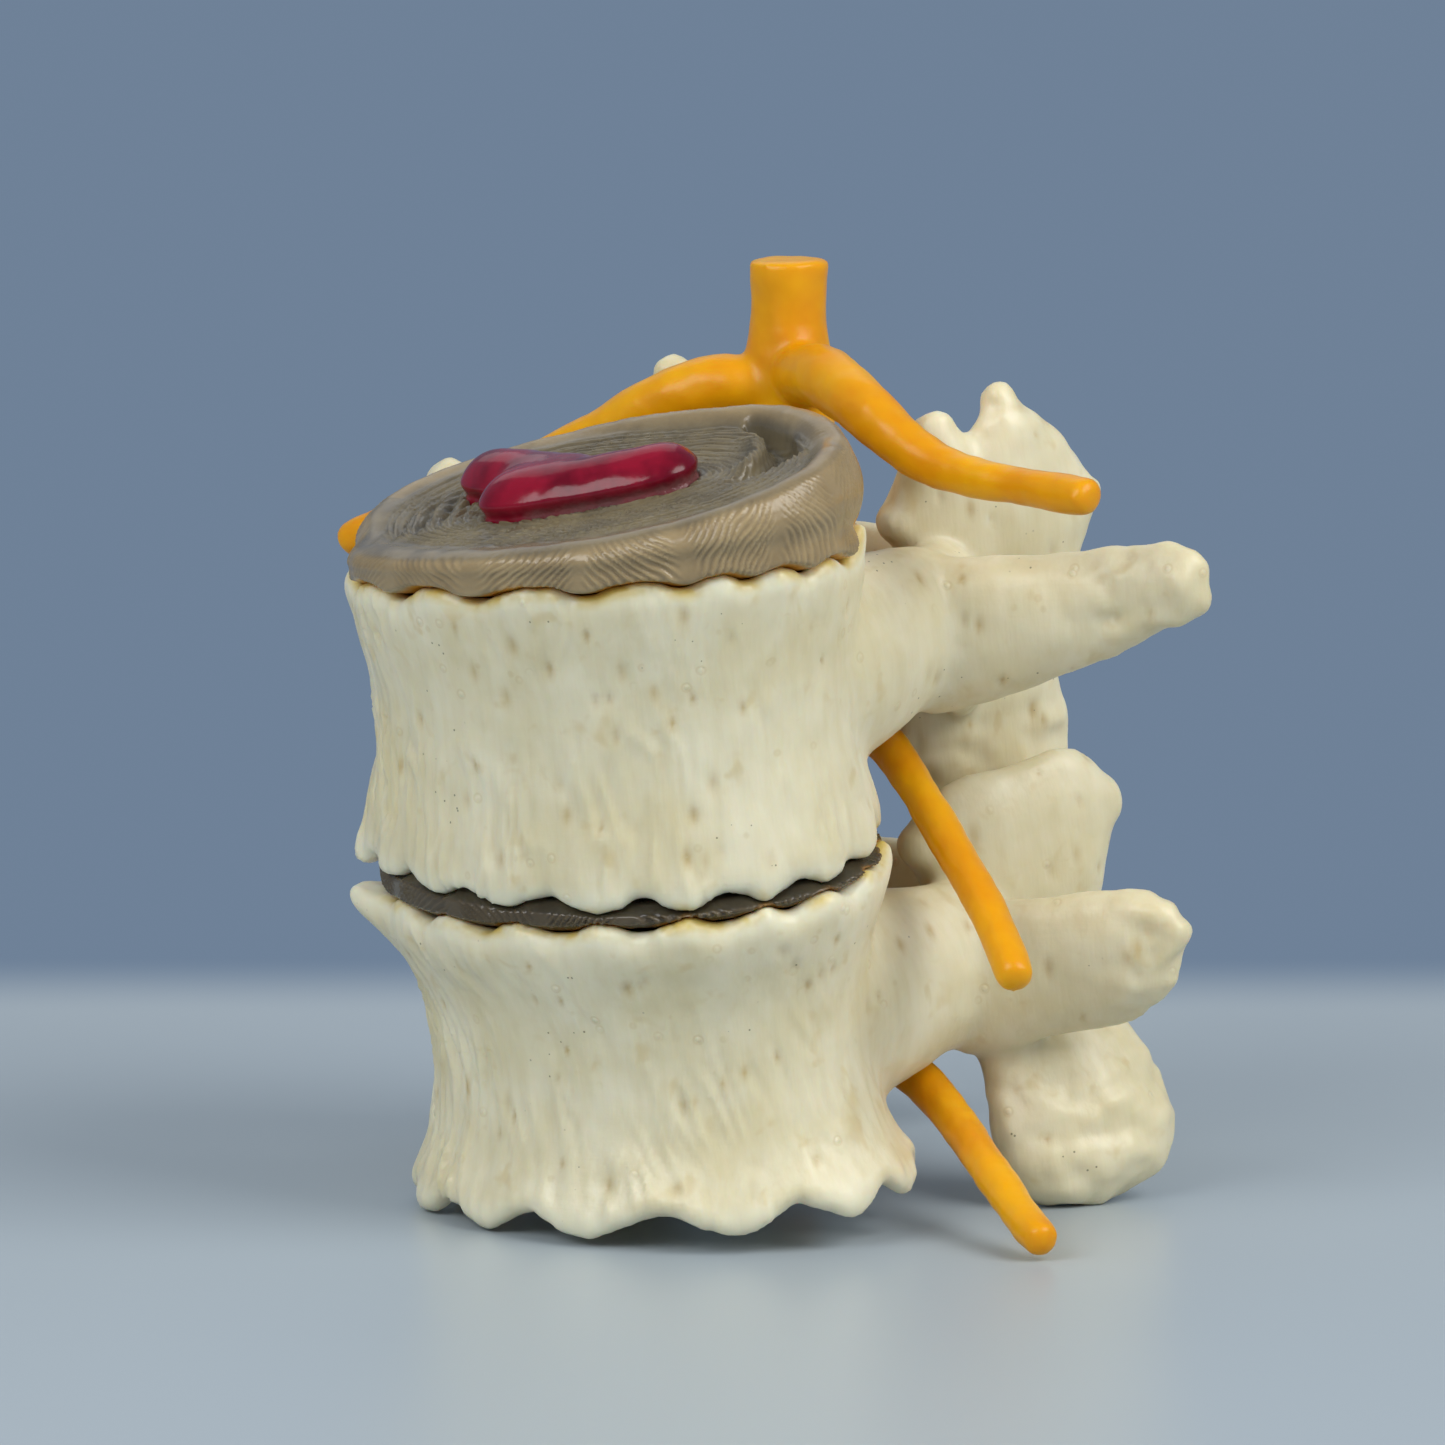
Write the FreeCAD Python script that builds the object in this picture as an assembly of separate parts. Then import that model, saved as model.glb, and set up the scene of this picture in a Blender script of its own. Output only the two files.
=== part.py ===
import FreeCAD, Part
import os
from math import atan2, cos, exp, pi, radians, sin
from FreeCAD import Rotation, Vector

# All lengths are in millimetres and all angles in degrees. +X is the model's own left, +Y its back, +Z up.

# Vertebral bodies
BODY_WIDTH = 50.0
BODY_DEPTH = 35.4
# End planes of the bodies: level at the middle, rise from front to back, rise from right to left
UPPER_TOP = (11.7, -4.4, 5.6)
UPPER_BASE = (-13.3, 1.2, 1.0)
LOWER_TOP = (13.5, 0.7, 2.2)
LOWER_BASE = (-14.8, -2.2, 2.4)
BACK_HOLLOW = 3.0          # how far the back wall bows in towards the body at mid-line
BACK_HOLLOW_SPAN = 9.0
UPPER_WAIST = 1.7          # how far the side walls draw in between the rims
LOWER_WAIST = 3.6
END_RECESS = 1.6           # depth of the dished end faces inside their rims
RIM_BAND = 5.0             # height of the thickened rim
LOWER_RIM_BAND = 3.6       # on the edge that the model stands on
RIM_WAVE = 1.6             # height of the scallops along a rim
LOWER_RIM_WAVE = 2.7       # the worn lower edge that the model stands on
FLUTE_DEPTH = 0.8          # depth of the vertical flutes below the scallops

# Crests of the scallops, as angles round each rim from +X towards +Y
UPPER_TOP_CRESTS = (
    -17.2, 3.0, 25.0, 47.0, 70.0, 92.0, 114.0, 136.0, 158.0, 182.0, 206.0, 231.0, 256.0, 281.5, 307.4, 326.2)
UPPER_BASE_CRESTS = (
    -8.0, 12.0, 34.0, 58.0, 84.0, 108.0, 132.0, 157.0, 180.0, 205.0, 228.0, 248.0, 268.0, 292.0, 312.0, 332.0)
LOWER_TOP_CRESTS = (
    -12.0, 8.0, 30.0, 55.0, 80.0, 104.0, 130.0, 155.0, 181.0, 208.0, 229.0, 250.0, 271.0, 290.0, 310.0, 329.0)
LOWER_BASE_CRESTS = (-12.6, 15.0, 40.0, 66.0, 92.0, 118.0, 146.0, 172.0, 198.0, 225.0, 252.0, 278.4, 315.0)

# Bony lips that stand out from the rims: angle, rise, outward flare, half width as an angle
UPPER_TOP_LIPS = ((27.0, 2.4, 0.9, 7.0), (192.0, 3.0, 0.4, 9.0))
UPPER_BASE_LIPS = ((24.0, -1.0, 0.0, 12.0), (200.0, 1.4, 1.4, 15.0))
LOWER_TOP_LIPS = ((207.0, -0.3, 3.2, 8.0), (24.0, 1.0, 0.4, 10.0))
LOWER_BASE_LIPS = ((208.0, 0.4, 0.0, 12.0),)

# Arch behind the body
CANAL_WIDTH = 26.6
CANAL_DEPTH = 21.5
PEDICLE_WIDTH = 9.4
PEDICLE_HEIGHT = 16.0
PEDICLE_OUT = (CANAL_WIDTH + PEDICLE_WIDTH) / 2.0
ROOT_COVER = 0.9           # of the pedicles' roots under the top of the body
BACK_WALL = BODY_DEPTH / 2.0 - BACK_HOLLOW     # of a body at mid-line, from its middle
NOTCH_BACK = BACK_WALL + 4.0                   # where a pedicle is slimmest
UPPER_PEDICLE_LEVEL = 3.0  # height of the pedicle's middle above the body's middle
LOWER_PEDICLE_LEVEL = 0.8
LAMINA_THICKNESS = 6.6
LAMINA_HEIGHT = 18.0
LAMINA_LEVEL = -4.0
SPINE_REACH = 63.0         # back edge of the spinous process, from the body's middle
SPINE_THICKNESS = 6.6
SPINE_HEIGHT = 17.0
SPINE_LEVEL = -6.0

# Transverse processes: where the tip lies from the body's middle
UPPER_WING_REACH = 43.4
UPPER_WING_BACK = 29.6
UPPER_WING_LEVEL = 6.2
LOWER_WING_REACH = 38.9
LOWER_WING_BACK = 27.4
LOWER_WING_LEVEL = 1.8
WING_ROOT_HEIGHT = 14.4
WING_ROOT_DROP = 2.0       # middle of a wing's root below the middle of its pedicle
UPPER_WING_TIP = (7.8, 0.92, 3.4)      # height near the tip, share of it at the tip, length of the dome
LOWER_WING_TIP = (13.0, 0.62, 3.0)
WING_THICKNESS = 5.4

# Articular processes
FACET_LENGTH = 22.0        # of a facet plate in plan
FACET_THICKNESS = 5.6
INNER_FACET_THICKNESS = 5.8
FACET_TURN = 62.0          # direction of a plate in plan, from +X towards +Y
FACET_BOW = 1.2            # how far a plate bows outwards in plan
FACET_END = 1.5            # dome at each end of a plate
FACET_EDGE_HEIGHT = 6.0    # of a plate's front and back edges, under its top
UPPER_SUPERIOR = (16.5, 35.2, 13.8)    # middle of the plate across and back, and its top
LOWER_SUPERIOR = (18.1, 31.8, 14.2)
INFERIOR_ACROSS = 26.6
INFERIOR_BACK = 27.6
INFERIOR_LENGTH = 18.0
INFERIOR_THICKNESS = 8.6
INNER_FACET_TIP = -20.0    # lowest point of the upper vertebra's inferior processes, from its body's middle
FACET_GAP = 0.3            # between the two plates of a facet joint

# Rise of a superior process along its plate, front to back, from -1 to 1
UPPER_CROWN = (
    (-1.0, -2.4), (-0.86, 1.6), (-0.72, 5.4), (-0.56, 6.2), (-0.42, 5.2), (-0.28, 3.0), (-0.14, 3.0),
    (0.0, 6.4), (0.12, 7.0), (0.26, 6.4), (0.44, 3.6), (0.64, 2.6), (0.84, 0.4), (1.0, -3.0))
LOWER_CROWN = (
    (-1.0, -2.0), (-0.8, 1.0), (-0.5, 2.0), (-0.1, 1.6), (0.3, 2.2), (0.6, 2.6), (0.84, 1.6), (1.0, -1.0))

# Discs
SEAT_GAP = 0.2             # glue line under and over each disc
DISC_TOP = (19.2, 3.6, 6.8)    # plane of the upper disc's top, as for the bodies
DISC_SWELLS = ((80.0, 1.6, 0.0, 42.0), (208.0, -1.2, 0.0, 30.0))
DISC_SWELL_BAND = 9.0
DISC_EDGE_INSET = 0.6
DISC_BULGE = 1.3           # how far its side stands out between its edges
DISC_HUB = (1.6, -2.4)     # middle of the lamellae, under the nucleus
HUB_LENGTH = 19.0
HUB_WIDTH = 9.0
HUB_TURN = 24.0            # of the innermost ring, from +X towards +Y
OUTER_BAND = 2.8           # plain band outside the lamellae
LIP_CLEARANCE = 0.75       # how far the disc's edge draws in behind a lip, as a share of the lip's rise
DISC_BASE_INSET = 5.0
LAMELLA_DEPTH = 0.5
LAMELLAE = 8
LOWER_DISC_INSET = 1.3
BODY_SPACING = 29.8        # between the middles of the two bodies

# Displaced nucleus
NUCLEUS_WIDTH = 7.4
NUCLEUS_HEIGHT = 6.6
NUCLEUS_RISE = 2.9         # its top above the disc's top
NUCLEUS_END = 2.6
# Middles of the bean and of its side lobe: across, back, share of the width
NUCLEUS_PATH = ((-4.6, -5.6, 0.96), (-1.8, -5.0, 1.0), (2.0, -3.9, 0.92), (6.0, -2.0, 0.96), (8.4, 0.0, 0.98))
NUCLEUS_LOBE = ((1.0, -2.4, 0.8), (-3.0, -1.9, 0.84), (-7.0, -1.0, 0.9), (-11.0, 0.3, 0.9))
POCKET_DEPTH = 2.4
POCKET_WIDTH = 3.0
POCKET_PATH = ((8.5, 12.0, 0.5), (12.4, 10.6, 0.8), (15.2, 7.2, 1.0), (16.2, 3.6, 1.0), (15.4, 0.6, 0.7))

# Nerves
TRUNK_DIAMETER = 7.2
TRUNK_GAP = 0.3            # between the trunk and the back rim of the lower body
TRUNK_RISE = 36.4          # top of the trunk above the upper body's middle
TRUNK_FOOT = 5.0           # lower end of the trunk above the table
TRUNK_DOME = 2.0
# Way up the trunk and share of its thickness
TRUNK_SHAPE = (
    (0.0, 0.9), (0.12, 0.96), (0.32, 1.0), (0.58, 1.0), (0.73, 1.04), (0.83, 1.2), (0.885, 1.12),
    (0.925, 0.94), (0.96, 0.9), (1.0, 1.02))
ROOT_DIAMETER = 3.4
ROOT_CORE = 1.5            # share of the root's thickness inside the trunk
TIP_CLEARANCE = 0.2        # of the lowest roots above the table
# Poles of each root from the edge of the pedicle that it passes: share of the way out, back, up, thickness
TOP_LEFT_ROOT = (
    (-0.03, 10.3, 10.0, ROOT_CORE), (0.26, 8.0, 12.3, 1.75), (0.56, 4.3, 12.0, 1.6), (0.85, 1.8, 10.6, 1.45),
    (1.11, 0.8, 7.8, 1.3), (1.43, 0.1, 6.4, 1.12), (1.85, -0.3, 6.4, 1.0), (2.24, -1.6, 6.5, 1.06))
TOP_RIGHT_ROOT = (
    (-0.03, 10.1, 9.0, ROOT_CORE), (-0.25, 6.8, 10.8, 1.8), (-0.55, 4.3, 8.9, 1.6), (-0.82, 2.8, 6.0, 1.4),
    (-1.22, 1.3, 2.6, 1.15), (-1.72, -0.9, -0.5, 1.0), (-2.0, -2.5, -2.8, 1.0), (-2.27, -3.4, -5.2, 1.06))
MIDDLE_LEFT_ROOT = (
    (0.01, 5.6, -1.7, ROOT_CORE), (0.4, 4.8, -1.9, 1.3), (0.7, 3.1, -3.3, 1.1), (0.98, 0.0, -5.7, 1.04),
    (1.33, -3.2, -10.3, 1.04), (1.72, -7.4, -14.6, 1.04), (2.04, -12.2, -18.3, 1.04))
MIDDLE_RIGHT_ROOT = (
    (0.01, 5.6, -1.7, ROOT_CORE), (-0.38, 4.8, -2.3, 1.3), (-0.68, 3.1, -4.0, 1.1), (-0.95, 0.6, -6.7, 1.0),
    (-1.23, -2.3, -11.1, 0.94), (-1.47, -5.0, -15.2, 0.94), (-1.67, -7.4, -18.9, 0.98))
LOW_LEFT_ROOT = (
    (0.0, 0.9, 1.2, ROOT_CORE), (0.41, 0.5, 0.2, 1.3), (0.72, 0.3, -1.3, 1.15), (1.03, -1.5, -3.6, 1.1),
    (1.48, -7.8, -5.6, 1.05), (1.88, -13.2, -7.7, 1.0), (2.22, -17.3, -8.5, 1.02))
LOW_RIGHT_ROOT = (
    (0.0, 0.9, 1.2, ROOT_CORE), (-0.41, 0.5, 0.2, 1.3), (-0.72, 0.3, -1.3, 1.15), (-1.0, -1.5, -3.6, 1.1),
    (-1.26, -5.2, -5.7, 1.05), (-1.42, -8.5, -8.1, 1.0), (-1.58, -10.8, -9.5, 1.02))

# How the model stands
LEAN = 9.5                 # forward lean of the whole column
UPPER_ROLL = 1.5           # the upper vertebra dips towards its left

AROUND = 96                # poles round a body
OVAL = 16                  # poles round a limb
FINE = 0.05                # deviation of the facets used for measuring


def skin(rings):
    """Solid with a smooth side drawn over rings of poles and a flat cap on each end ring."""
    surface = Part.BSplineSurface()
    across = [4] + [1] * (len(rings) - 4) + [4]
    around = [1] * (len(rings[0]) + 1)
    across_knots = [float(i) for i in range(len(across))]
    around_knots = [float(i) for i in range(len(around))]
    surface.buildFromPolesMultsKnots(rings, across, around, across_knots, around_knots, False, True, 3, 3)
    side = surface.toShape()
    ends = [edge for edge in side.Edges if edge.isClosed() and len(edge.Vertexes) == 1]
    caps = [Part.Face(Part.Wire([edge.reversed()])) for edge in ends]
    solid = Part.Solid(Part.Shell([side] + caps))
    if solid.Volume < 0:
        solid.reverse()
    return solid


def swell(count):
    """How much larger a ring of poles is than the smooth ring it gives."""
    return 3.0 / (2.0 + cos(2.0 * pi / count))


def oval_ring(middle, flat, other, long_size, short_size):
    grow = swell(OVAL)
    ring = []
    for i in range(OVAL):
        t = 2.0 * pi * i / OVAL
        along = flat * (grow * long_size / 2.0 * cos(t))
        ring.append(middle + along + other * (grow * short_size / 2.0 * sin(t)))
    return ring


def limb(stations, flat, domes=(0.0, 0.0), heading=None, grow=0.0):
    """Solid along a row of stations (x, y, z, size along flat, size across), each end domed or flat.

    The sections stand square to the row, or all square to the heading where one is given.
    """
    middles = [Vector(*station[:3]) for station in stations]
    sections = []
    for i, (x, y, z, long_size, short_size) in enumerate(stations):
        run = heading or middles[min(i + 1, len(middles) - 1)] - middles[max(i - 1, 0)]
        run = Vector(run).normalize()
        across = flat - run * flat.dot(run)
        across.normalize()
        sections.append((middles[i], across, run.cross(across), long_size + grow, short_size + grow, run))
    for end, dome in ((0, domes[0]), (-1, domes[1])):
        if dome <= 0.0:
            continue
        dome += grow / 2.0
        middle, across, other, long_size, short_size, run = sections[end]
        out = run * (dome if end else -dome)
        cap = [
            (middle + out * reach, across, other, long_size * share, short_size * share, run)
            for reach, share in ((0.55, 0.86), (0.88, 0.52), (1.0, 0.12))]
        sections = sections + cap if end else cap[::-1] + sections
    return skin([oval_ring(*section[:5]) for section in sections])


def mirrored(shape):
    return shape.mirror(Vector(0, 0, 0), Vector(1, 0, 0))


def scallop(crests, angle):
    """From 1 on a crest to -1 between two crests, with rounded crests and narrower dips."""
    turn = (angle - crests[0]) % 360.0 + crests[0]
    ends = crests[1:] + (crests[0] + 360.0,)
    for start, end in zip(crests, ends):
        if turn <= end:
            way = (turn - start) / (end - start)
            return 0.5 * cos(2.0 * pi * way) + abs(cos(pi * way)) - 0.5
    return 1.0


def lip_share(lip, angle):
    away = (angle - lip[0] + 180.0) % 360.0 - 180.0
    return exp(-(away / lip[3]) ** 2)


def outline(angle, inset):
    """Point of a body's kidney-shaped outline, drawn in by inset."""
    grow = swell(AROUND)
    x = (BODY_WIDTH / 2.0 - inset) * grow * cos(radians(angle))
    y = (BODY_DEPTH / 2.0 - inset) * grow * sin(radians(angle))
    if y > 0.0:
        y -= BACK_HOLLOW * (y / (BODY_DEPTH / 2.0)) * exp(-(x / BACK_HOLLOW_SPAN) ** 2)
    return x, y


def plane_level(plane, x, y):
    return plane[0] + plane[1] * y / BODY_DEPTH + plane[2] * x / BODY_WIDTH


def end_profile(waist, band):
    """One half of a body's section: inset, drop below the rim plane, share of scallops, share of lips."""
    return (
        (15.0, END_RECESS, 0.0, 0.0),
        (11.0, END_RECESS, 0.0, 0.0),
        (8.0, END_RECESS, 0.0, 0.0),
        (5.6, END_RECESS, 0.0, 0.0),
        (3.4, END_RECESS * 0.65, 0.2, 0.2),
        (1.7, 0.0, 0.7, 0.8),
        (0.5, -0.3, 1.0, 1.0),
        (-0.3, 0.9, 1.0, 1.0),
        (0.0, band * 0.55, 0.7, 0.6),
        (0.35 * waist, band, 0.3, 0.2),
        (0.8 * waist, band + 3.6, 0.1, 0.0),
    )


def vertebral_body(waist, top, base):
    """Spool-shaped body with dished ends, scalloped rims and fluted walls."""
    halves = []
    for side, (plane, crests, wave, lips, band) in ((-1.0, base), (1.0, top)):
        half = []
        for inset, drop, share, lip_part in end_profile(waist, band):
            ring = []
            for i in range(AROUND):
                angle = 360.0 * i / AROUND
                crest = scallop(crests, angle)
                rise = wave / 2.0 * share * crest
                flute = FLUTE_DEPTH / 2.0 * min(share, 0.7) * (1.0 - crest)
                flare = 0.0
                for lip in lips:
                    part = lip_part * lip_share(lip, angle)
                    rise += lip[1] * part
                    flare += lip[2] * part
                x, y = outline(angle, inset + flute - flare)
                ring.append(Vector(x, y, plane_level(plane, x, y) + side * (rise - drop)))
            half.append(ring)
        halves.append(half)
    waist_ring = []
    for i in range(AROUND):
        x, y = outline(360.0 * i / AROUND, waist)
        waist_ring.append(Vector(x, y, (plane_level(base[0], x, y) + plane_level(top[0], x, y)) / 2.0))
    return skin(halves[0] + [waist_ring] + halves[1][::-1])


def arch(level, top, waist):
    """Horseshoe of both pedicles and laminae in one sweep round the canal, rooted below the body's top.

    The outer sides of the pedicles run on flush from the side walls of the body.
    """
    lamina_back = BACK_WALL + CANAL_DEPTH + LAMINA_THICKNESS / 2.0
    wall = BODY_WIDTH / 2.0 - waist
    web = PEDICLE_WIDTH * 1.3
    half = (
        (wall - 1.2 - web / 2.0, BACK_WALL - 14.0, level, PEDICLE_HEIGHT, web),
        (wall - 0.3 - web / 2.0, BACK_WALL - 7.5, level - 0.4, PEDICLE_HEIGHT * 1.2, web),
        (wall + 0.1 - web / 2.0, BACK_WALL - 1.5, level - 0.4, PEDICLE_HEIGHT * 1.2, web),
        (PEDICLE_OUT, NOTCH_BACK, level, PEDICLE_HEIGHT * 0.94, PEDICLE_WIDTH),
        (PEDICLE_OUT - 0.2, BACK_WALL + 10.0, level * 0.5, PEDICLE_HEIGHT * 0.88, PEDICLE_WIDTH),
        (PEDICLE_OUT - 3.2, lamina_back - 7.6, LAMINA_LEVEL * 0.2, LAMINA_HEIGHT * 0.9, LAMINA_THICKNESS),
        (PEDICLE_OUT - 9.4, lamina_back - 2.2, LAMINA_LEVEL * 0.8, LAMINA_HEIGHT, LAMINA_THICKNESS),
    )
    below = (END_RECESS + ROOT_COVER, END_RECESS + ROOT_COVER, ROOT_COVER, 0.0)
    sides = []
    for side in (1.0, -1.0):
        stations = []
        for i, (x, y, z, high, thick) in enumerate(half):
            low, peak = z - high / 2.0, z + high / 2.0
            if i < len(below):
                peak = min(peak, plane_level(top, side * x, y) - below[i])
            stations.append((side * x, y, (low + peak) / 2.0, peak - low, thick))
        sides.append(stations)
    middle = (0.0, lamina_back, LAMINA_LEVEL, LAMINA_HEIGHT, LAMINA_THICKNESS * 1.1)
    return limb(sides[0] + [middle] + sides[1][::-1], Vector(0, 0, 1))


def spinous_process():
    lamina_back = BACK_WALL + CANAL_DEPTH
    run = SPINE_REACH - lamina_back
    root_level = (LAMINA_LEVEL + SPINE_LEVEL) / 2.0
    stations = (
        (0.0, lamina_back + 2.0, LAMINA_LEVEL, LAMINA_HEIGHT * 0.8, SPINE_THICKNESS),
        (0.0, lamina_back + run * 0.3, root_level, SPINE_HEIGHT * 0.86, SPINE_THICKNESS * 0.9),
        (0.0, lamina_back + run * 0.55, SPINE_LEVEL, SPINE_HEIGHT * 0.9, SPINE_THICKNESS * 0.8),
        (0.0, lamina_back + run * 0.8, SPINE_LEVEL - 0.6, SPINE_HEIGHT, SPINE_THICKNESS),
        (0.0, SPINE_REACH - 2.6, SPINE_LEVEL - 1.0, SPINE_HEIGHT, SPINE_THICKNESS * 1.15),
    )
    return limb(stations, Vector(0, 0, 1), domes=(0.0, 2.6))


def wing(pedicle_level, reach, back, level, tip):
    """Transverse process of the left side."""
    tip_height, tip_share, tip_dome = tip
    root_x = CANAL_WIDTH / 2.0 + PEDICLE_WIDTH * 0.4
    root_y = BACK_WALL + 7.0
    root_level = pedicle_level - WING_ROOT_DROP
    stations = []
    for share, swing, high, thick in (
            (0.0, 0.0, 1.0, 1.5), (0.2, 0.14, 1.0, 1.4), (0.42, 0.4, 0.86, 1.2),
            (0.64, 0.66, 0.72, 1.05), (0.84, 0.86, 0.62, 1.0), (1.0, 1.0, 0.0, 0.9)):
        high_here = max(high * WING_ROOT_HEIGHT, tip_height)
        level_here = root_level + (level - root_level) * share ** 1.2
        if share == 1.0:
            high_here = tip_height * tip_share
            level_here += (tip_height - high_here) * 0.4
        stations.append((
            root_x + (reach - tip_dome - root_x) * share,
            root_y + (back - root_y) * swing,
            level_here,
            high_here,
            WING_THICKNESS * thick))
    return limb(tuple(stations), Vector(0, 0, 1), domes=(0.0, tip_dome))


def facet_direction():
    return Vector(cos(radians(FACET_TURN)), sin(radians(FACET_TURN)), 0.0)


def superior_process(pedicle_level, seat, crown):
    """Upright plate of the left side with a knobbed upper edge, drawn from its front edge to its back edge."""
    along = facet_direction()
    aside = Vector(along.y, -along.x, 0.0)
    root = pedicle_level - 4.0
    stations = []
    for place, rise in crown:
        low = root + (seat[2] - FACET_EDGE_HEIGHT - root) * place ** 4
        middle = Vector(seat[0], seat[1], 0.0)
        middle += along * (place * (FACET_LENGTH / 2.0 - FACET_END))
        middle += aside * (FACET_BOW * (1.0 - place ** 2))
        high = seat[2] + rise - low
        thick = FACET_THICKNESS * (1.1 - 0.25 * place ** 2)
        stations.append((middle.x, middle.y, low + high / 2.0, high, thick))
    return limb(tuple(stations), Vector(0, 0, 1), domes=(FACET_END, FACET_END), heading=along)


def outer_inferior_process(tip_level):
    """Lobe of the left side that the lower vertebra stands on."""
    x, y = INFERIOR_ACROSS, INFERIOR_BACK
    top = LAMINA_LEVEL + 2.0
    run = tip_level - top
    stations = (
        (x - 9.0, y + 3.4, top, INFERIOR_LENGTH * 0.6, INFERIOR_THICKNESS * 0.8),
        (x - 6.0, y + 2.4, top + run * 0.22, INFERIOR_LENGTH * 0.7, INFERIOR_THICKNESS * 0.9),
        (x - 2.4, y + 1.0, top + run * 0.45, INFERIOR_LENGTH * 0.94, INFERIOR_THICKNESS),
        (x, y, top + run * 0.76, INFERIOR_LENGTH, INFERIOR_THICKNESS),
    )
    return limb(stations, facet_direction(), domes=(0.0, -run * 0.24))


def inner_inferior_process(tip_level):
    """Process of the left side that lies inside the plate of the vertebra below."""
    along = facet_direction()
    inward = Vector(-along.y, along.x, 0.0)
    seat = Vector(LOWER_SUPERIOR[0], LOWER_SUPERIOR[1], 0.0) + inward * (FACET_THICKNESS * 0.55 + FACET_GAP)
    middle = seat + inward * (INNER_FACET_THICKNESS / 2.0) + along * 1.2
    top = LAMINA_LEVEL + 2.0
    run = tip_level - top
    stations = []
    for share, shift, length in ((0.0, -0.4, 0.62), (0.3, 0.0, 0.74), (0.56, 0.3, 0.78), (0.84, 0.4, 0.7)):
        place = middle + along * shift
        level = top + run * share
        stations.append((place.x, place.y, level, FACET_LENGTH * length, INNER_FACET_THICKNESS))
    return limb(tuple(stations), along, domes=(0.0, -run * 0.16))


def vertebra(body, pedicle_level, top, waist, left_parts):
    """One casting: a body with its arch and spinous process, and the parts of the left side on both sides."""
    pieces = [arch(pedicle_level, top, waist), spinous_process()]
    for part in left_parts:
        pieces += [part, mirrored(part)]
    return body.multiFuse(pieces)


def stand(shape, centre, roll=0.0):
    """Turn a shape from its own upright frame into the leaning column."""
    placed = shape.copy()
    turn = Rotation(Vector(1, 0, 0), LEAN).multiply(Rotation(Vector(0, 1, 0), roll))
    placed.Placement = FreeCAD.Placement(centre, turn)
    return placed


def lowest(shape):
    return min(p.z for p in shape.tessellate(FINE)[0])


def upper_disc():
    """Barrel-sided disc in the upper body's own frame, ringed on top, with the nucleus' bed cut in."""
    base = SEAT_GAP - END_RECESS
    edge = DISC_EDGE_INSET
    sole = DISC_BASE_INSET
    side = (
        (14.0, base, 0.0), (10.0, base, 0.0), (8.0, base, 0.0), (sole + 1.0, base, 0.0),
        (sole, base + 0.2, 0.0), (3.2, -0.1, 0.0), (1.9, 0.7, 0.0), (edge, 1.2, 0.1),
        (edge - DISC_BULGE, 0.6, 0.42), (edge - DISC_BULGE, 0.0, 0.76), (edge + 0.2, 0.2, 0.98),
        (edge + 1.4, 0.2, 1.0))
    rings = [disc_ring(inset, rise, share) for inset, rise, share in side]
    steps = 2 * LAMELLAE
    for i in range(steps + 1):
        rings.append(lamella_ring(i / (steps + 1.0), -LAMELLA_DEPTH if i % 2 == 0 else 0.0))
    rings.append(lamella_ring(1.0, -LAMELLA_DEPTH / 2.0))
    return skin(rings).cut(nucleus(2.0 * SEAT_GAP)).cut(disc_pocket())


def behind_lips(angle):
    """How far the disc's edge keeps back from the lips of the rim round it."""
    return sum(LIP_CLEARANCE * lip[1] * lip_share(lip, angle) for lip in UPPER_TOP_LIPS)


def disc_ring(inset, rise, share):
    """Ring between the plane of the body's rim (share 0) and the plane of the disc's top (share 1)."""
    ring = []
    for i in range(AROUND):
        angle = 360.0 * i / AROUND
        x, y = outline(angle, inset + behind_lips(angle))
        low = plane_level(UPPER_TOP, x, y)
        high = disc_level(x, y, angle, inset)
        ring.append(Vector(x, y, low + share * (high - low) + rise))
    return ring


def disc_level(x, y, angle, inset):
    swells = sum(lip[1] * lip_share(lip, angle) for lip in DISC_SWELLS)
    return plane_level(DISC_TOP, x, y) + swells * max(0.0, 1.0 - inset / DISC_SWELL_BAND)


def lamella_ring(way, rise):
    """Ring of the top on its way from the outer band (0) to the oval round the nucleus (1)."""
    ring = []
    for i in range(AROUND):
        angle = 360.0 * i / AROUND
        outer_x, outer_y = outline(angle, DISC_EDGE_INSET + OUTER_BAND + behind_lips(angle))
        away_x, away_y = outer_x - DISC_HUB[0], outer_y - DISC_HUB[1]
        reach = (away_x ** 2 + away_y ** 2) ** 0.5
        turn = atan2(away_y, away_x) - radians(HUB_TURN)
        hub = 1.0 / ((2.0 * cos(turn) / HUB_LENGTH) ** 2 + (2.0 * sin(turn) / HUB_WIDTH) ** 2) ** 0.5
        share = (hub + (reach - hub) * (1.0 - way)) / reach
        x, y = DISC_HUB[0] + away_x * share, DISC_HUB[1] + away_y * share
        inset = max(DISC_EDGE_INSET + OUTER_BAND + (1.0 - share) * reach, way * DISC_SWELL_BAND)
        ring.append(Vector(x, y, disc_level(x, y, angle, inset) + rise))
    return ring


def on_disc(x, y, rise):
    return plane_level(DISC_TOP, x, y) + rise


def nucleus(grow=0.0):
    """Bean with a side lobe, lying half sunk in the top of the upper disc."""
    sink = NUCLEUS_RISE - NUCLEUS_HEIGHT / 2.0
    lobes = []
    for places in (NUCLEUS_PATH, NUCLEUS_LOBE):
        stations = tuple(
            (x, y, on_disc(x, y, sink), NUCLEUS_HEIGHT, NUCLEUS_WIDTH * share) for x, y, share in places)
        lobes.append(limb(stations, Vector(0, 0, 1), domes=(NUCLEUS_END, NUCLEUS_END), grow=grow))
    return lobes[0].fuse(lobes[1])


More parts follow.
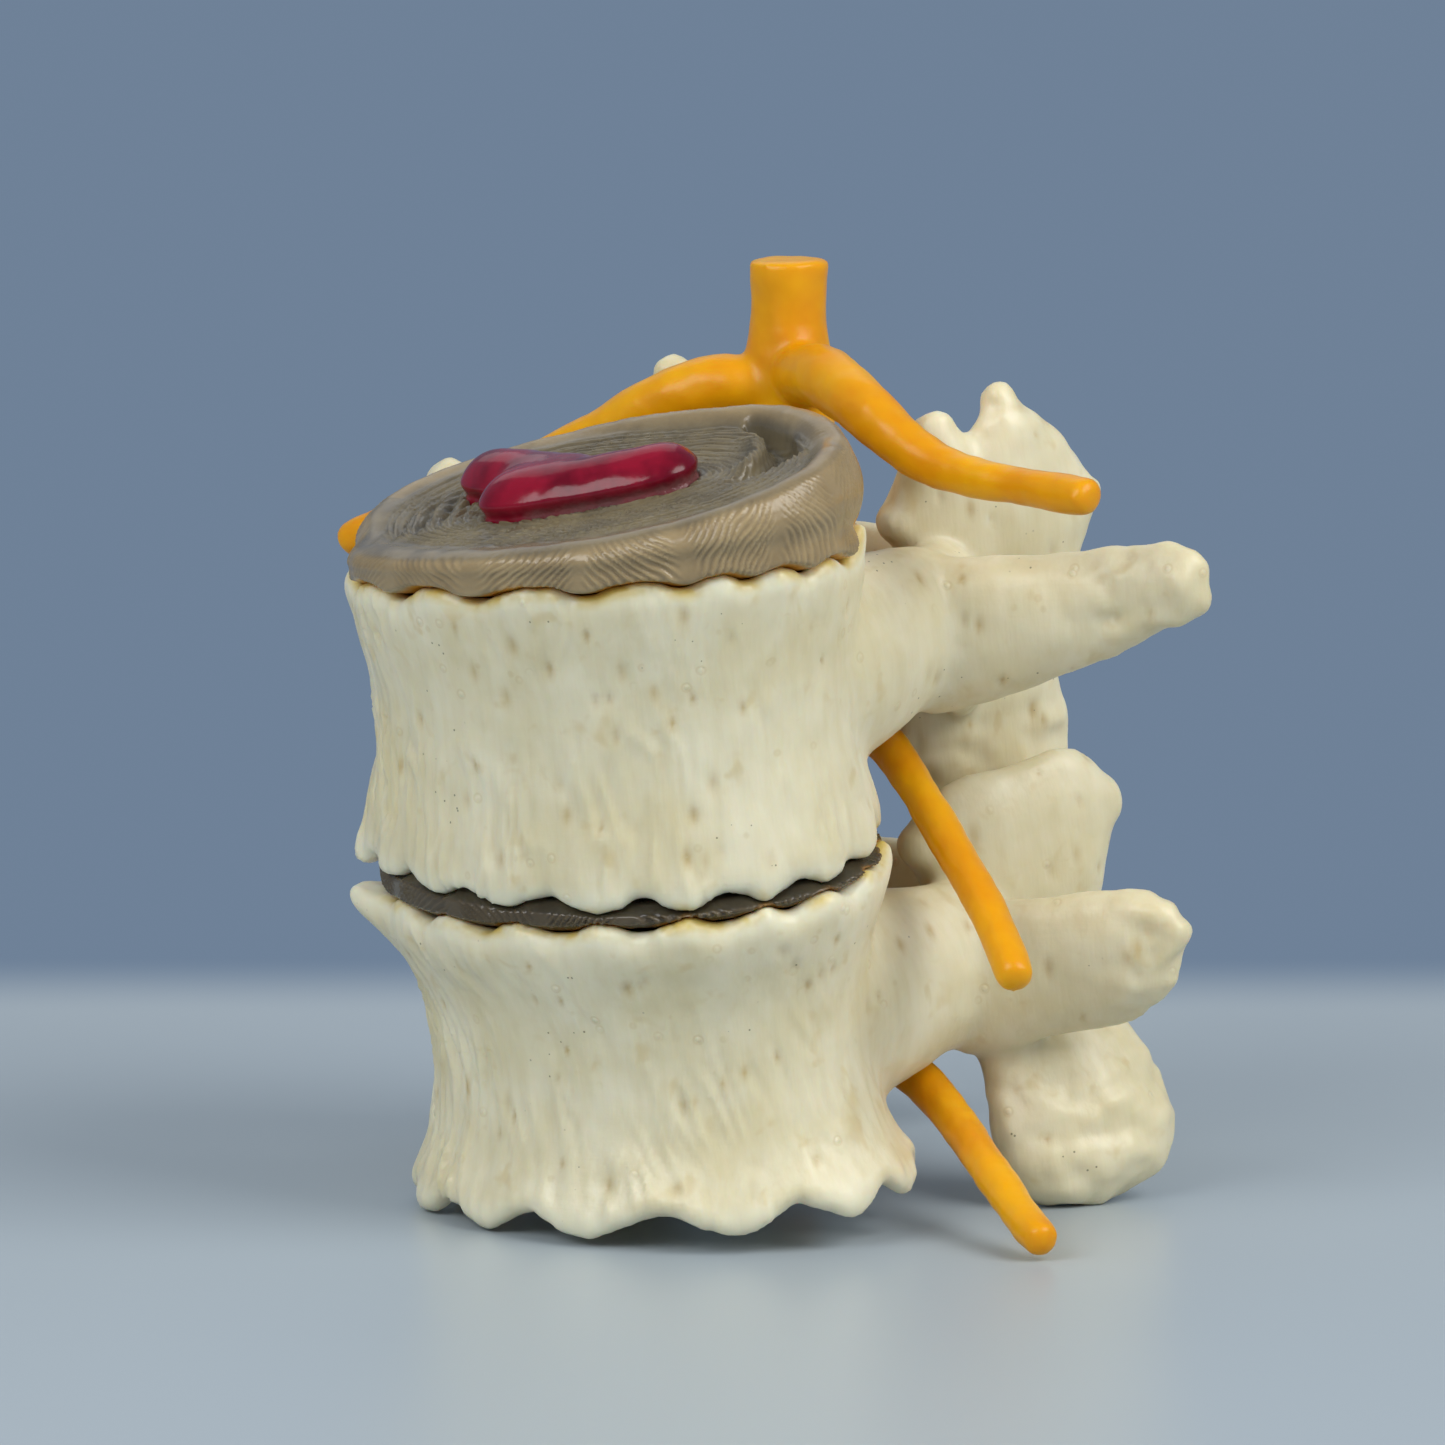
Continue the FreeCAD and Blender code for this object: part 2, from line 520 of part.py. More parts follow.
def disc_pocket():
    """Crescent tear between two lamellae at the disc's left end."""
    stations = tuple(
        (x, y, on_disc(x, y, 0.6), POCKET_DEPTH * 2.0, POCKET_WIDTH * share) for x, y, share in POCKET_PATH)
    return limb(stations, Vector(0, 0, 1), domes=(1.2, 1.2))


def lower_disc(lower_centre, upper_centre):
    """Disc squeezed between the two bodies, flat on the floor of each."""
    base = SEAT_GAP - END_RECESS
    sole = DISC_BASE_INSET
    half = (
        (14.0, base), (10.0, base), (8.0, base), (sole + 1.0, base), (sole, base + 0.2),
        (LOWER_DISC_INSET + 1.6, 0.1), (LOWER_DISC_INSET, 1.2))
    rings = []
    for plane, centre, roll, side, profile in (
            (LOWER_TOP, lower_centre, 0.0, 1.0, half),
            (UPPER_BASE, upper_centre, UPPER_ROLL, -1.0, half[::-1])):
        for inset, rise in profile:
            ring = []
            for i in range(AROUND):
                x, y = outline(360.0 * i / AROUND, inset)
                ring.append(stand_point(Vector(x, y, plane_level(plane, x, y) + side * rise), centre, roll))
            rings.append(ring)
    return skin(rings)


def stand_point(point, centre, roll=0.0):
    turn = Rotation(Vector(1, 0, 0), LEAN).multiply(Rotation(Vector(0, 1, 0), roll))
    return centre + turn.multVec(point)


def nerve_root(poles, edge, centre, roll, resting=False):
    """Root from inside the trunk past the edge of a pedicle, whose height is in the vertebra's own frame."""
    stations = []
    for across, back, up, share in poles:
        at = stand_point(Vector(across * PEDICLE_OUT, NOTCH_BACK + back, edge + up), centre, roll)
        stations.append([at.x, at.y, at.z, ROOT_DIAMETER * share, ROOT_DIAMETER * share])
    if resting:
        stations[-1][2] = stations[-1][3] / 2.0 + TIP_CLEARANCE
    return limb(stations, Vector(0.13, 0.07, 1.0), domes=(0.0, ROOT_DIAMETER * 0.25))


def nerve_tree(lower_centre, upper_centre):
    """Trunk through both canals with three pairs of roots, moulded in one."""
    rim = stand_point(Vector(0.0, BACK_WALL, LOWER_BASE[0]), lower_centre)
    back = rim.y + TRUNK_GAP + TRUNK_DIAMETER / 2.0
    top = upper_centre.z + TRUNK_RISE
    trunk = []
    for way, share in TRUNK_SHAPE:
        thick = TRUNK_DIAMETER * share
        trunk.append((0.0, back, TRUNK_FOOT + (top - TRUNK_FOOT) * way, thick, thick))
    tree = limb(trunk, Vector(1, 0, 0), domes=(TRUNK_DOME, 0.0))
    half = PEDICLE_HEIGHT / 2.0
    roots = [nerve_root(poles, UPPER_PEDICLE_LEVEL + half, upper_centre, UPPER_ROLL)
             for poles in (TOP_LEFT_ROOT, TOP_RIGHT_ROOT)]
    roots += [nerve_root(poles, UPPER_PEDICLE_LEVEL - half, upper_centre, UPPER_ROLL)
              for poles in (MIDDLE_LEFT_ROOT, MIDDLE_RIGHT_ROOT)]
    roots += [nerve_root(poles, LOWER_PEDICLE_LEVEL - half, lower_centre, 0.0, resting=True)
              for poles in (LOW_LEFT_ROOT, LOW_RIGHT_ROOT)]
    for root in roots:
        tree = tree.fuse(root)
    return tree


def foot_process(lower_centre):
    """Outer inferior process of the lower vertebra, as long as it takes to reach the table."""
    level = -(lower_centre.z + INFERIOR_BACK * sin(radians(LEAN))) / cos(radians(LEAN))
    trial = stand(outer_inferior_process(level), lower_centre)
    return outer_inferior_process(level - lowest(trial) / cos(radians(LEAN)))


def centred(nodes):
    """Shift that puts the middle of the bounding box over the origin and its underside on the table."""
    points = [point for shape in nodes.values() for point in shape.tessellate(FINE)[0]]
    low_x, high_x = min(p.x for p in points), max(p.x for p in points)
    low_y, high_y = min(p.y for p in points), max(p.y for p in points)
    low_z, high_z = min(p.z for p in points), max(p.z for p in points)
    print("box", round(high_x - low_x, 2), round(high_y - low_y, 2), round(high_z - low_z, 2))
    return Vector(-(low_x + high_x) / 2.0, -(low_y + high_y) / 2.0, -low_z)


def main():
    os.makedirs("parts", exist_ok=True)
    lower_body = vertebral_body(
        LOWER_WAIST, (LOWER_TOP, LOWER_TOP_CRESTS, RIM_WAVE, LOWER_TOP_LIPS, RIM_BAND),
        (LOWER_BASE, LOWER_BASE_CRESTS, LOWER_RIM_WAVE, LOWER_BASE_LIPS, LOWER_RIM_BAND))
    upper_body = vertebral_body(
        UPPER_WAIST, (UPPER_TOP, UPPER_TOP_CRESTS, RIM_WAVE, UPPER_TOP_LIPS, RIM_BAND),
        (UPPER_BASE, UPPER_BASE_CRESTS, RIM_WAVE, UPPER_BASE_LIPS, RIM_BAND))
    lower_centre = Vector(0, 0, -lowest(stand(lower_body, Vector(0, 0, 0))))
    upper_centre = stand_point(Vector(0, 0, BODY_SPACING), lower_centre)

    lower_vertebra = vertebra(lower_body, LOWER_PEDICLE_LEVEL, LOWER_TOP, LOWER_WAIST, (
        wing(LOWER_PEDICLE_LEVEL, LOWER_WING_REACH, LOWER_WING_BACK, LOWER_WING_LEVEL, LOWER_WING_TIP),
        superior_process(LOWER_PEDICLE_LEVEL, LOWER_SUPERIOR, LOWER_CROWN),
        foot_process(lower_centre)))
    upper_vertebra = vertebra(upper_body, UPPER_PEDICLE_LEVEL, UPPER_TOP, UPPER_WAIST, (
        wing(UPPER_PEDICLE_LEVEL, UPPER_WING_REACH, UPPER_WING_BACK, UPPER_WING_LEVEL, UPPER_WING_TIP),
        superior_process(UPPER_PEDICLE_LEVEL, UPPER_SUPERIOR, UPPER_CROWN),
        inner_inferior_process(INNER_FACET_TIP)))
    nodes = {
        "lower_vertebra": stand(lower_vertebra, lower_centre),
        "upper_vertebra": stand(upper_vertebra, upper_centre, UPPER_ROLL),
        "upper_disc": stand(upper_disc(), upper_centre, UPPER_ROLL),
        "upper_nucleus": stand(nucleus(), upper_centre, UPPER_ROLL),
        "lower_disc": lower_disc(lower_centre, upper_centre),
        "nerve_tree": nerve_tree(lower_centre, upper_centre),
    }
    shift = centred(nodes)
    print("shift", round(shift.x, 4), round(shift.y, 4), round(shift.z, 4))
    print("middle of the lower body", round(lower_centre.z, 3))
    for name, shape in nodes.items():
        placed = shape.translated(shift)
        print(name, placed.isValid(), len(placed.Solids), round(placed.Volume, 1), len(placed.Faces))
        placed.exportStep("parts/" + name + ".step")


main()
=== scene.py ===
import math
import random

import bmesh
import bpy
import numpy as np
from mathutils import Matrix, Vector, kdtree, noise


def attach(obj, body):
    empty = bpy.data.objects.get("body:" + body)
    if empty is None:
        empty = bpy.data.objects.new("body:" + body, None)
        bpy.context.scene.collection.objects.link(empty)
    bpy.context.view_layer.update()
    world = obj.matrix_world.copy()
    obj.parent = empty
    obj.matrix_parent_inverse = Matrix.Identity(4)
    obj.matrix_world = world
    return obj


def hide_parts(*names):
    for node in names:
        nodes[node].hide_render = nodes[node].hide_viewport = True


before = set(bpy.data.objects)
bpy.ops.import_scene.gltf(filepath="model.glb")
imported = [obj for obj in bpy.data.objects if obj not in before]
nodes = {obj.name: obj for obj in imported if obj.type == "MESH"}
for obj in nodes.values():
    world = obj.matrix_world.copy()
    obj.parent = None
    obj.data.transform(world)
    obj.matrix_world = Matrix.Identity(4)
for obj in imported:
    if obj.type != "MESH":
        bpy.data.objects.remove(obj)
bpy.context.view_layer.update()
print("frame loaded")

mm = 0.001

# where the two bodies stand: middle in millimetres, lean about X, roll about Y
# an end plane is its height at the middle, its rise from front to back and from right to left
column = {
    "lower": {"middle": (-0.165, -18.825, 17.933), "lean": 9.5, "roll": 0.0,
              "top": (13.5, 0.7, 2.2), "base": (-14.8, -2.2, 2.4), "slant": 0.22},
    "upper": {"middle": (-0.165, -23.744, 47.324), "lean": 9.5, "roll": 1.5,
              "top": (11.7, -4.4, 5.6), "base": (-13.3, 1.2, 1.0), "slant": 0.04},
    "halfWidth": 25.0,
    "halfDepth": 17.7,
    "hollow": 3.0,
    "hollowSpan": 9.0,
}


def turnOf(place):
    lean = Matrix.Rotation(math.radians(place["lean"]), 3, "X")
    return lean @ Matrix.Rotation(math.radians(place["roll"]), 3, "Y")


def toBody(points, place):
    # world metres to a body's own millimetres
    turn = np.array(turnOf(place))
    return (points / mm - np.array(place["middle"])) @ turn


def fromBody(local, place):
    # and back to world metres
    turn = np.array(turnOf(place))
    return (local @ turn.T + np.array(place["middle"])) * mm


def planeLevel(plane, local):
    level, backRise, leftRise = plane
    back = backRise * local[:, 1] / (2.0 * column["halfDepth"])
    return level + back + leftRise * local[:, 0] / (2.0 * column["halfWidth"])


def bodyRadius(local):
    # 1 on the oval that a body is drawn on
    return np.hypot(local[:, 0] / column["halfWidth"], local[:, 1] / column["halfDepth"])


def turnedFrom(degrees, middle):
    # angle from a middle, from -180 to 180
    return (degrees - middle + 180.0) % 360.0 - 180.0


def smoothStep(value, low, high):
    t = np.clip((value - low) / (high - low), 0.0, 1.0)
    return t * t * (3.0 - 2.0 * t)


def fading(value, low, high):
    # 1 up to low, 0 from high on
    return 1.0 - smoothStep(value, low, high)


def between(value, start, full, fade, end):
    # rises from start to full, falls from fade to end
    return smoothStep(value, start, full) * fading(value, fade, end)


def bell(value, half):
    return np.exp(-((value / half) ** 2))


def link(obj):
    bpy.context.scene.collection.objects.link(obj)
    return obj


def copyOfNode(nodeName, name):
    # a node's mesh is loose triangles, so the copy is merged
    bm = bmesh.new()
    bm.from_mesh(nodes[nodeName].data)
    bmesh.ops.remove_doubles(bm, verts=bm.verts, dist=0.002 * mm)
    mesh = bpy.data.meshes.new(name)
    bm.to_mesh(mesh)
    bm.free()
    return link(bpy.data.objects.new(name, mesh))


def applyModifiers(obj):
    graph = bpy.context.evaluated_depsgraph_get()
    mesh = bpy.data.meshes.new_from_object(obj.evaluated_get(graph))
    obj.modifiers.clear()
    old = obj.data
    obj.data = mesh
    bpy.data.meshes.remove(old)
    mesh.name = obj.name


def remeshed(obj, shape):
    # one even skin over the solid, then its joins are eased into fillets
    remesh = obj.modifiers.new("skin", "REMESH")
    remesh.mode = "VOXEL"
    remesh.voxel_size = shape["voxel"] * mm
    remesh.adaptivity = 0.0
    applyModifiers(obj)
    bm = bmesh.new()
    bm.from_mesh(obj.data)
    for _ in range(shape["ease"]):
        bmesh.ops.smooth_vert(
            bm, verts=bm.verts, factor=0.5, use_axis_x=True, use_axis_y=True, use_axis_z=True)
    bmesh.ops.recalc_face_normals(bm, faces=bm.faces)
    bm.to_mesh(obj.data)
    bm.free()
    return obj


def eased(obj, weights, rounds):
    # wide fillets where the weights are high
    group = obj.vertex_groups.new(name="ease")
    for i in np.nonzero(weights > 0.02)[0]:
        group.add([int(i)], float(weights[i]), "REPLACE")
    smooth = obj.modifiers.new("ease", "SMOOTH")
    smooth.factor = 0.5
    smooth.iterations = rounds
    smooth.vertex_group = "ease"
    applyModifiers(obj)
    obj.vertex_groups.clear()


def pointsOf(mesh):
    points = np.empty(len(mesh.vertices) * 3)
    mesh.vertices.foreach_get("co", points)
    normals = np.empty(len(mesh.vertices) * 3)
    mesh.vertex_normals.foreach_get("vector", normals)
    return points.reshape(-1, 3), normals.reshape(-1, 3)


def movePoints(mesh, points):
    mesh.vertices.foreach_set("co", points.ravel())
    mesh.update()


def addMask(mesh, name, values):
    layer = mesh.attributes.new(name, "FLOAT", "POINT")
    layer.data.foreach_set("value", np.asarray(values, dtype=np.float32))


def noiseAt(points, scale, offset=(0.0, 0.0, 0.0)):
    # smooth noise from -1 to 1 at points in millimetres; scale is the size of a feature
    shift = Vector(offset)
    return np.array([noise.noise(Vector(p) / scale + shift) for p in points])


def treeOf(points):
    tree = kdtree.KDTree(len(points))
    for i, p in enumerate(points):
        tree.insert(p, i)
    tree.balance()
    return tree


def nearTo(points, piece, reach):
    # 1 where another piece touches, 0 from reach on, in metres
    others = pointsOf(piece.data)[0]
    low, high = others.min(axis=0) - reach, others.max(axis=0) + reach
    share = np.zeros(len(points))
    tree = treeOf(others)
    for i in np.nonzero(np.all((points > low) & (points < high), axis=1))[0]:
        share[i] = fading(tree.find(points[i])[2], 0.25 * reach, reach)
    return share


def finishPiece(obj, nodeName, material):
    obj.data.materials.clear()
    obj.data.materials.append(material)
    for face in obj.data.polygons:
        face.use_smooth = True
    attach(obj, "root")
    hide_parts(nodeName)
    print(obj.name, "done,", len(obj.data.polygons), "faces")


# materials

def newMaterial(name, finish):
    material = bpy.data.materials.new(name)
    material.use_nodes = True
    tree = material.node_tree
    tree.nodes.clear()
    out = tree.nodes.new("ShaderNodeOutputMaterial")
    shader = tree.nodes.new("ShaderNodeBsdfPrincipled")
    tree.links.new(shader.outputs["BSDF"], out.inputs["Surface"])
    for socket, value in finish.items():
        shader.inputs[socket].default_value = value
    return material, tree, shader


def addNode(tree, kind, values=None, **settings):
    node = tree.nodes.new("ShaderNode" + kind)
    for key, value in settings.items():
        setattr(node, key, value)
    for key, value in (values or {}).items():
        node.inputs[key].default_value = value
    return node


def ramp(tree, source, stops):
    node = tree.nodes.new("ShaderNodeValToRGB")
    tree.links.new(source, node.inputs["Fac"])
    band = node.color_ramp
    while len(band.elements) < len(stops):
        band.elements.new(0.5)
    for element, (place, colour) in zip(band.elements, stops):
        element.position = place
        element.color = (*colour, 1.0)
    return node.outputs["Color"]


def mixColour(tree, share, first, second, mode="MIX"):
    node = addNode(tree, "Mix", data_type="RGBA", blend_type=mode)
    for name, value in (("Factor", share), ("A", first), ("B", second)):
        socket = node.inputs[name]
        if isinstance(value, bpy.types.NodeSocket):
            tree.links.new(value, socket)
        else:
            socket.default_value = value if isinstance(value, float) else (*value, 1.0)
    return node.outputs["Result"]


def calc(tree, operation, *values):
    node = addNode(tree, "Math", operation=operation)
    for i, value in enumerate(values):
        if isinstance(value, bpy.types.NodeSocket):
            tree.links.new(value, node.inputs[i])
        else:
            node.inputs[i].default_value = value
    return node.outputs[0]


def maskNode(tree, name):
    return addNode(tree, "Attribute", attribute_name=name).outputs["Fac"]


def tinted(tree, colour, mask, amount, tint):
    # a tint laid over a colour, by an amount where the mask is 1
    return mixColour(tree, calc(tree, "MULTIPLY", mask, amount), colour, tint)


def ownPlace(tree, place, stretch=(1.0, 1.0, 1.0)):
    # object coordinates in millimetres, turned upright with the body
    coordinates = addNode(tree, "TexCoord")
    upright = addNode(tree, "Mapping", {
        "Rotation": (-math.radians(place["lean"]), 0.0, 0.0), "Scale": (1000.0, 1000.0, 1000.0)})
    tree.links.new(coordinates.outputs["Object"], upright.inputs["Vector"])
    longer = addNode(tree, "Mapping", {"Scale": stretch})
    tree.links.new(upright.outputs["Vector"], longer.inputs["Vector"])
    return longer.outputs["Vector"]


def spanNode(tree, source, low, high, top):
    # eased step of a value from 0 to top
    node = addNode(tree, "MapRange", {"From Min": low, "From Max": high, "To Max": top},
                   interpolation_type="SMOOTHSTEP")
    tree.links.new(source, node.inputs["Value"])
    return node.outputs["Result"]


def noiseNode(tree, vector, scale, detail=3.0, rough=0.5, distortion=0.0):
    node = addNode(tree, "TexNoise", {
        "Scale": scale, "Detail": detail, "Roughness": rough, "Distortion": distortion})
    tree.links.new(vector, node.inputs["Vector"])
    return node.outputs["Fac"]


def cellNode(tree, vector, scale):
    # distance to the nearest of many scattered spots
    node = addNode(tree, "TexVoronoi", {"Scale": scale, "Randomness": 1.0}, feature="F1")
    tree.links.new(vector, node.inputs["Vector"])
    return node.outputs["Distance"]


def bumpNode(tree, height, strength, distance, below=None):
    node = addNode(tree, "Bump", {"Strength": strength, "Distance": distance * mm})
    tree.links.new(height, node.inputs["Height"])
    if below:
        tree.links.new(below, node.inputs["Normal"])
    return node.outputs["Normal"]


boneLook = {
    "pale": (0.775, 0.720, 0.525),
    "deep": (0.705, 0.635, 0.415),
    "warm": (0.690, 0.585, 0.335),
    "streak": (0.95, 0.935, 0.89),
    # rim: painted light, a paler colour on the thin translucent rims
    "rim": (0.80, 0.765, 0.585),
    "stain": (0.50, 0.355, 0.125),
    "blotch": (0.62, 0.50, 0.255),
    "glue": (0.62, 0.46, 0.11),
    "speck": (0.17, 0.16, 0.09),
    "finish": {
        "Roughness": 0.38,
        "IOR": 1.48,
        "Subsurface Weight": 0.4,
        "Subsurface Radius": (1.0, 0.66, 0.34),
        "Subsurface Scale": 2.6 * mm,
    },
}


def boneMaterial(name, place):
    material, tree, shader = newMaterial(name, boneLook["finish"])
    own = ownPlace(tree, place)
    upright = ownPlace(tree, place, (1.0, 1.0, 0.14))
    level = ownPlace(tree, place, (0.25, 0.25, 3.4))
    cloud = noiseNode(tree, own, 0.10, 4.0, 0.55)
    streaks = noiseNode(tree, upright, 0.62, 3.0, 0.6)
    colour = ramp(tree, cloud, ((0.36, boneLook["deep"]), (0.60, boneLook["pale"])))
    streaked = ramp(tree, streaks, ((0.34, boneLook["streak"]), (0.58, (1.0, 1.0, 1.0))))
    colour = mixColour(tree, 1.0, colour, streaked, "MULTIPLY")
    # the arch and its processes are a little warmer than the body
    colour = tinted(tree, colour, maskNode(tree, "arch"), 0.15, boneLook["warm"])
    # faint tan blotches
    blotch = noiseNode(tree, own, 0.34, 2.0, 0.45, 0.4)
    colour = mixColour(tree, spanNode(tree, blotch, 0.60, 0.76, 0.55), colour, boneLook["blotch"])
    # pits with a tan floor
    colour = tinted(tree, colour, maskNode(tree, "stain"), 0.8, boneLook["stain"])
    # pimples with a tan ring
    bumps = cellNode(tree, own, 0.40)
    chosen = spanNode(tree, noiseNode(tree, own, 0.15, 2.0, 0.5), 0.50, 0.60, 1.0)
    away = calc(tree, "ABSOLUTE", calc(tree, "SUBTRACT", bumps, 0.17))
    ring = calc(tree, "SUBTRACT", 1.0, spanNode(tree, away, 0.0, 0.07, 1.0))
    colour = tinted(tree, colour, calc(tree, "MULTIPLY", ring, chosen), 0.22, boneLook["stain"])
    dome = calc(tree, "SUBTRACT", 1.0, spanNode(tree, bumps, 0.04, 0.14, 1.0))
    dome = calc(tree, "MULTIPLY", dome, chosen)
    # rare dark pinpricks
    prick = spanNode(tree, cellNode(tree, own, 0.85), 0.07, 0.10, 1.0)
    rare = spanNode(tree, noiseNode(tree, own, 0.11, 1.0, 0.4), 0.58, 0.62, 1.0)
    prick = calc(tree, "MULTIPLY", calc(tree, "SUBTRACT", 1.0, prick), rare)
    colour = tinted(tree, colour, prick, 0.8, boneLook["speck"])
    # painted light: the thin translucent rims are coloured paler; and glue where a piece is stuck on
    colour = tinted(tree, colour, maskNode(tree, "rim"), 0.7, boneLook["rim"])
    patchy = spanNode(tree, noiseNode(tree, own, 0.28, 3.0, 0.5), 0.34, 0.62, 1.0)
    colour = tinted(tree, colour, maskNode(tree, "glue"), patchy, boneLook["glue"])
    tree.links.new(colour, shader.inputs["Base Color"])
    normal = bumpNode(tree, noiseNode(tree, own, 1.5, 4.0, 0.6), 0.30, 0.05)
    normal = bumpNode(tree, streaks, 0.45, 0.16, normal)
    normal = bumpNode(tree, noiseNode(tree, level, 0.9, 2.0, 0.5), 0.16, 0.05, normal)
    normal = bumpNode(tree, dome, 0.6, 0.10, normal)
    tree.links.new(normal, shader.inputs["Normal"])
    return material


nerveLook = {
    "bright": (0.80, 0.385, 0.002),
    "deep": (0.72, 0.290, 0.001),
    "thick": (0.62, 0.165, 0.001),
    "finish": {
        "Roughness": 0.32,
        "Specular IOR Level": 0.28,
        "Subsurface Weight": 0.4,
        "Subsurface Radius": (1.0, 0.40, 0.06),
        "Subsurface Scale": 2.2 * mm,
    },
}


def nerveMaterial():
    material, tree, shader = newMaterial("orange soft nerve", nerveLook["finish"])
    own = ownPlace(tree, column["lower"])
    cloud = noiseNode(tree, own, 0.14, 3.0, 0.5)
    colour = ramp(tree, cloud, ((0.36, nerveLook["deep"]), (0.62, nerveLook["bright"])))
    # deeper trunk colour: partly its own tone where thick, partly painted shade
    colour = tinted(tree, colour, maskNode(tree, "trunkToneAndShade"), 0.6, nerveLook["thick"])
    tree.links.new(colour, shader.inputs["Base Color"])
    normal = bumpNode(tree, noiseNode(tree, own, 1.1, 4.0, 0.6), 0.25, 0.06)
    normal = bumpNode(tree, noiseNode(tree, own, 0.32, 2.0, 0.5), 0.5, 0.35, normal)
    tree.links.new(normal, shader.inputs["Normal"])
    return material


discLook = {
    "side": (0.370, 0.275, 0.145),
    "sideDark": (0.290, 0.212, 0.110),
    "top": (0.185, 0.150, 0.088),
    "topDark": (0.120, 0.098, 0.062),
    "paintedGrooveShade": (0.085, 0.066, 0.040),
    "amber": (0.72, 0.30, 0.015),
    "lowerShade": 0.29,
    "finish": {
        "Roughness": 0.26,
        "Specular IOR Level": 0.42,
        "Coat Weight": 0.1,
        "Coat Roughness": 0.08,
        "Subsurface Weight": 0.35,
        "Subsurface Radius": (1.0, 0.75, 0.4),
        "Subsurface Scale": 1.8 * mm,
    },
}


def discMaterial(name, place, shade):
    material, tree, shader = newMaterial(name, discLook["finish"])
    own = ownPlace(tree, place)
    cloud = noiseNode(tree, own, 0.22, 4.0, 0.55)
    side = ramp(tree, cloud, ((0.36, discLook["sideDark"]), (0.62, discLook["side"])))
    top = ramp(tree, cloud, ((0.36, discLook["topDark"]), (0.62, discLook["top"])))
    colour = mixColour(tree, maskNode(tree, "wall"), top, side)
    # painted shade: the dips of the lamellae and side grooves are darkened
    colour = tinted(tree, colour, maskNode(tree, "paintedGrooveShade"), 0.22, discLook["paintedGrooveShade"])
    colour = mixColour(tree, 1.0, colour, (shade, shade, shade), "MULTIPLY")
    colour = tinted(tree, colour, maskNode(tree, "amber"), 0.8, discLook["amber"])
    tree.links.new(colour, shader.inputs["Base Color"])
    normal = bumpNode(tree, noiseNode(tree, own, 2.2, 3.0, 0.65), 0.3, 0.05)
    normal = bumpNode(tree, noiseNode(tree, own, 0.8, 3.0, 0.6), 0.4, 0.12, normal)
    tree.links.new(normal, shader.inputs["Normal"])
    return material


nucleusLook = {
    "deep": (0.125, 0.001, 0.010),
    "bright": (0.255, 0.004, 0.020),
    "film": (0.15, 0.075, 0.070),
    "paintedSheen": (0.16, 0.075, 0.095),
    "finish": {
        "Roughness": 0.16,
        "Specular IOR Level": 0.32,
        "Subsurface Weight": 0.15,
        "Subsurface Radius": (1.0, 0.2, 0.2),
        "Subsurface Scale": 1.5 * mm,
    },
}


def nucleusMaterial():
    material, tree, shader = newMaterial("crimson nucleus", nucleusLook["finish"])
    own = ownPlace(tree, column["upper"])
    cloud = noiseNode(tree, own, 0.24, 3.0, 0.5)
    colour = ramp(tree, cloud, ((0.36, nucleusLook["deep"]), (0.60, nucleusLook["bright"])))
    # painted sheen: a pale lilac reflection laid on the upward-facing saddle
    colour = tinted(tree, colour, maskNode(tree, "paintedSheen"), 0.38, nucleusLook["paintedSheen"])
    # a thin wet film with a torn edge
    film = maskNode(tree, "film")
    torn = calc(tree, "MULTIPLY", noiseNode(tree, own, 0.7, 3.0, 0.6), 0.7)
    torn = spanNode(tree, calc(tree, "ADD", film, torn), 0.80, 1.50, 0.65)
    colour = mixColour(tree, torn, colour, nucleusLook["film"])
    tree.links.new(colour, shader.inputs["Base Color"])
    wrinkles = calc(tree, "MULTIPLY", noiseNode(tree, own, 2.0, 3.0, 0.6), film)
    normal = bumpNode(tree, wrinkles, 0.8, 0.14)
    normal = bumpNode(tree, noiseNode(tree, own, 0.5, 2.0, 0.5), 0.35, 0.16, normal)
    tree.links.new(normal, shader.inputs["Normal"])
    return material


lowerBone = boneMaterial("ivory cast bone, lower", column["lower"])
upperBone = boneMaterial("ivory cast bone, upper", column["upper"])
nerve = nerveMaterial()
upperRubber = discMaterial("grey-brown soft disc", column["upper"], 1.0)
lowerRubber = discMaterial("grey-brown squeezed disc", column["lower"], discLook["lowerShade"])
crimson = nucleusMaterial()
print("materials done")


# vertebrae, in millimetres

vertebraShape = {
    "voxel": 0.45,
    "ease": 2,
    "webRounds": 48,
    "webAcross": (13.0, 18.0, 27.0, 32.0),
    "webBack": (-1.0, 6.0, 24.0, 29.0),
    "archStart": 17.0,
    "wallRing": (0.74, 0.84, 1.15, 1.25),
    "rimRing": (0.84, 0.93),
    "rimBand": (0.3, 2.4),
    "rimJitter": 0.30,
    "ridgeHeight": 0.52,
    "ridgeBend": 0.07,
    "ridgesAround": 9.0,
    "ridgeStretch": 0.13,
    "ridgeSharpness": 2.6,
    "strongest": 225.0,
    "strongSpan": 62.0,
    "fluteDepth": 0.24,
    "lumpHeight": 0.16,
    "lumpSize": 5.0,
    "knobHeight": 0.58,
    "knobSize": 3.6,
    "pits": 270,
    "pitStretch": 0.52,
    "pitSizes": (0.26, 0.66),
    "pitDepths": (0.09, 0.26),
    "pitTones": (0.15, 1.0),
}


def filletRoots(obj, place):
    # the roots of the side processes run into the body in wide fillets
    local = toBody(pointsOf(obj.data)[0], place)
    x, y, z = local.T
    web = between(np.abs(x), *vertebraShape["webAcross"]) * between(y, *vertebraShape["webBack"])
    under = smoothStep(planeLevel(place["top"], local) - z, 0.5, 4.0)
    above = smoothStep(z - planeLevel(place["base"], local), 3.0, 6.0)
    web *= np.where(y < vertebraShape["archStart"], under, 1.0) * above
    eased(obj, web, vertebraShape["webRounds"])


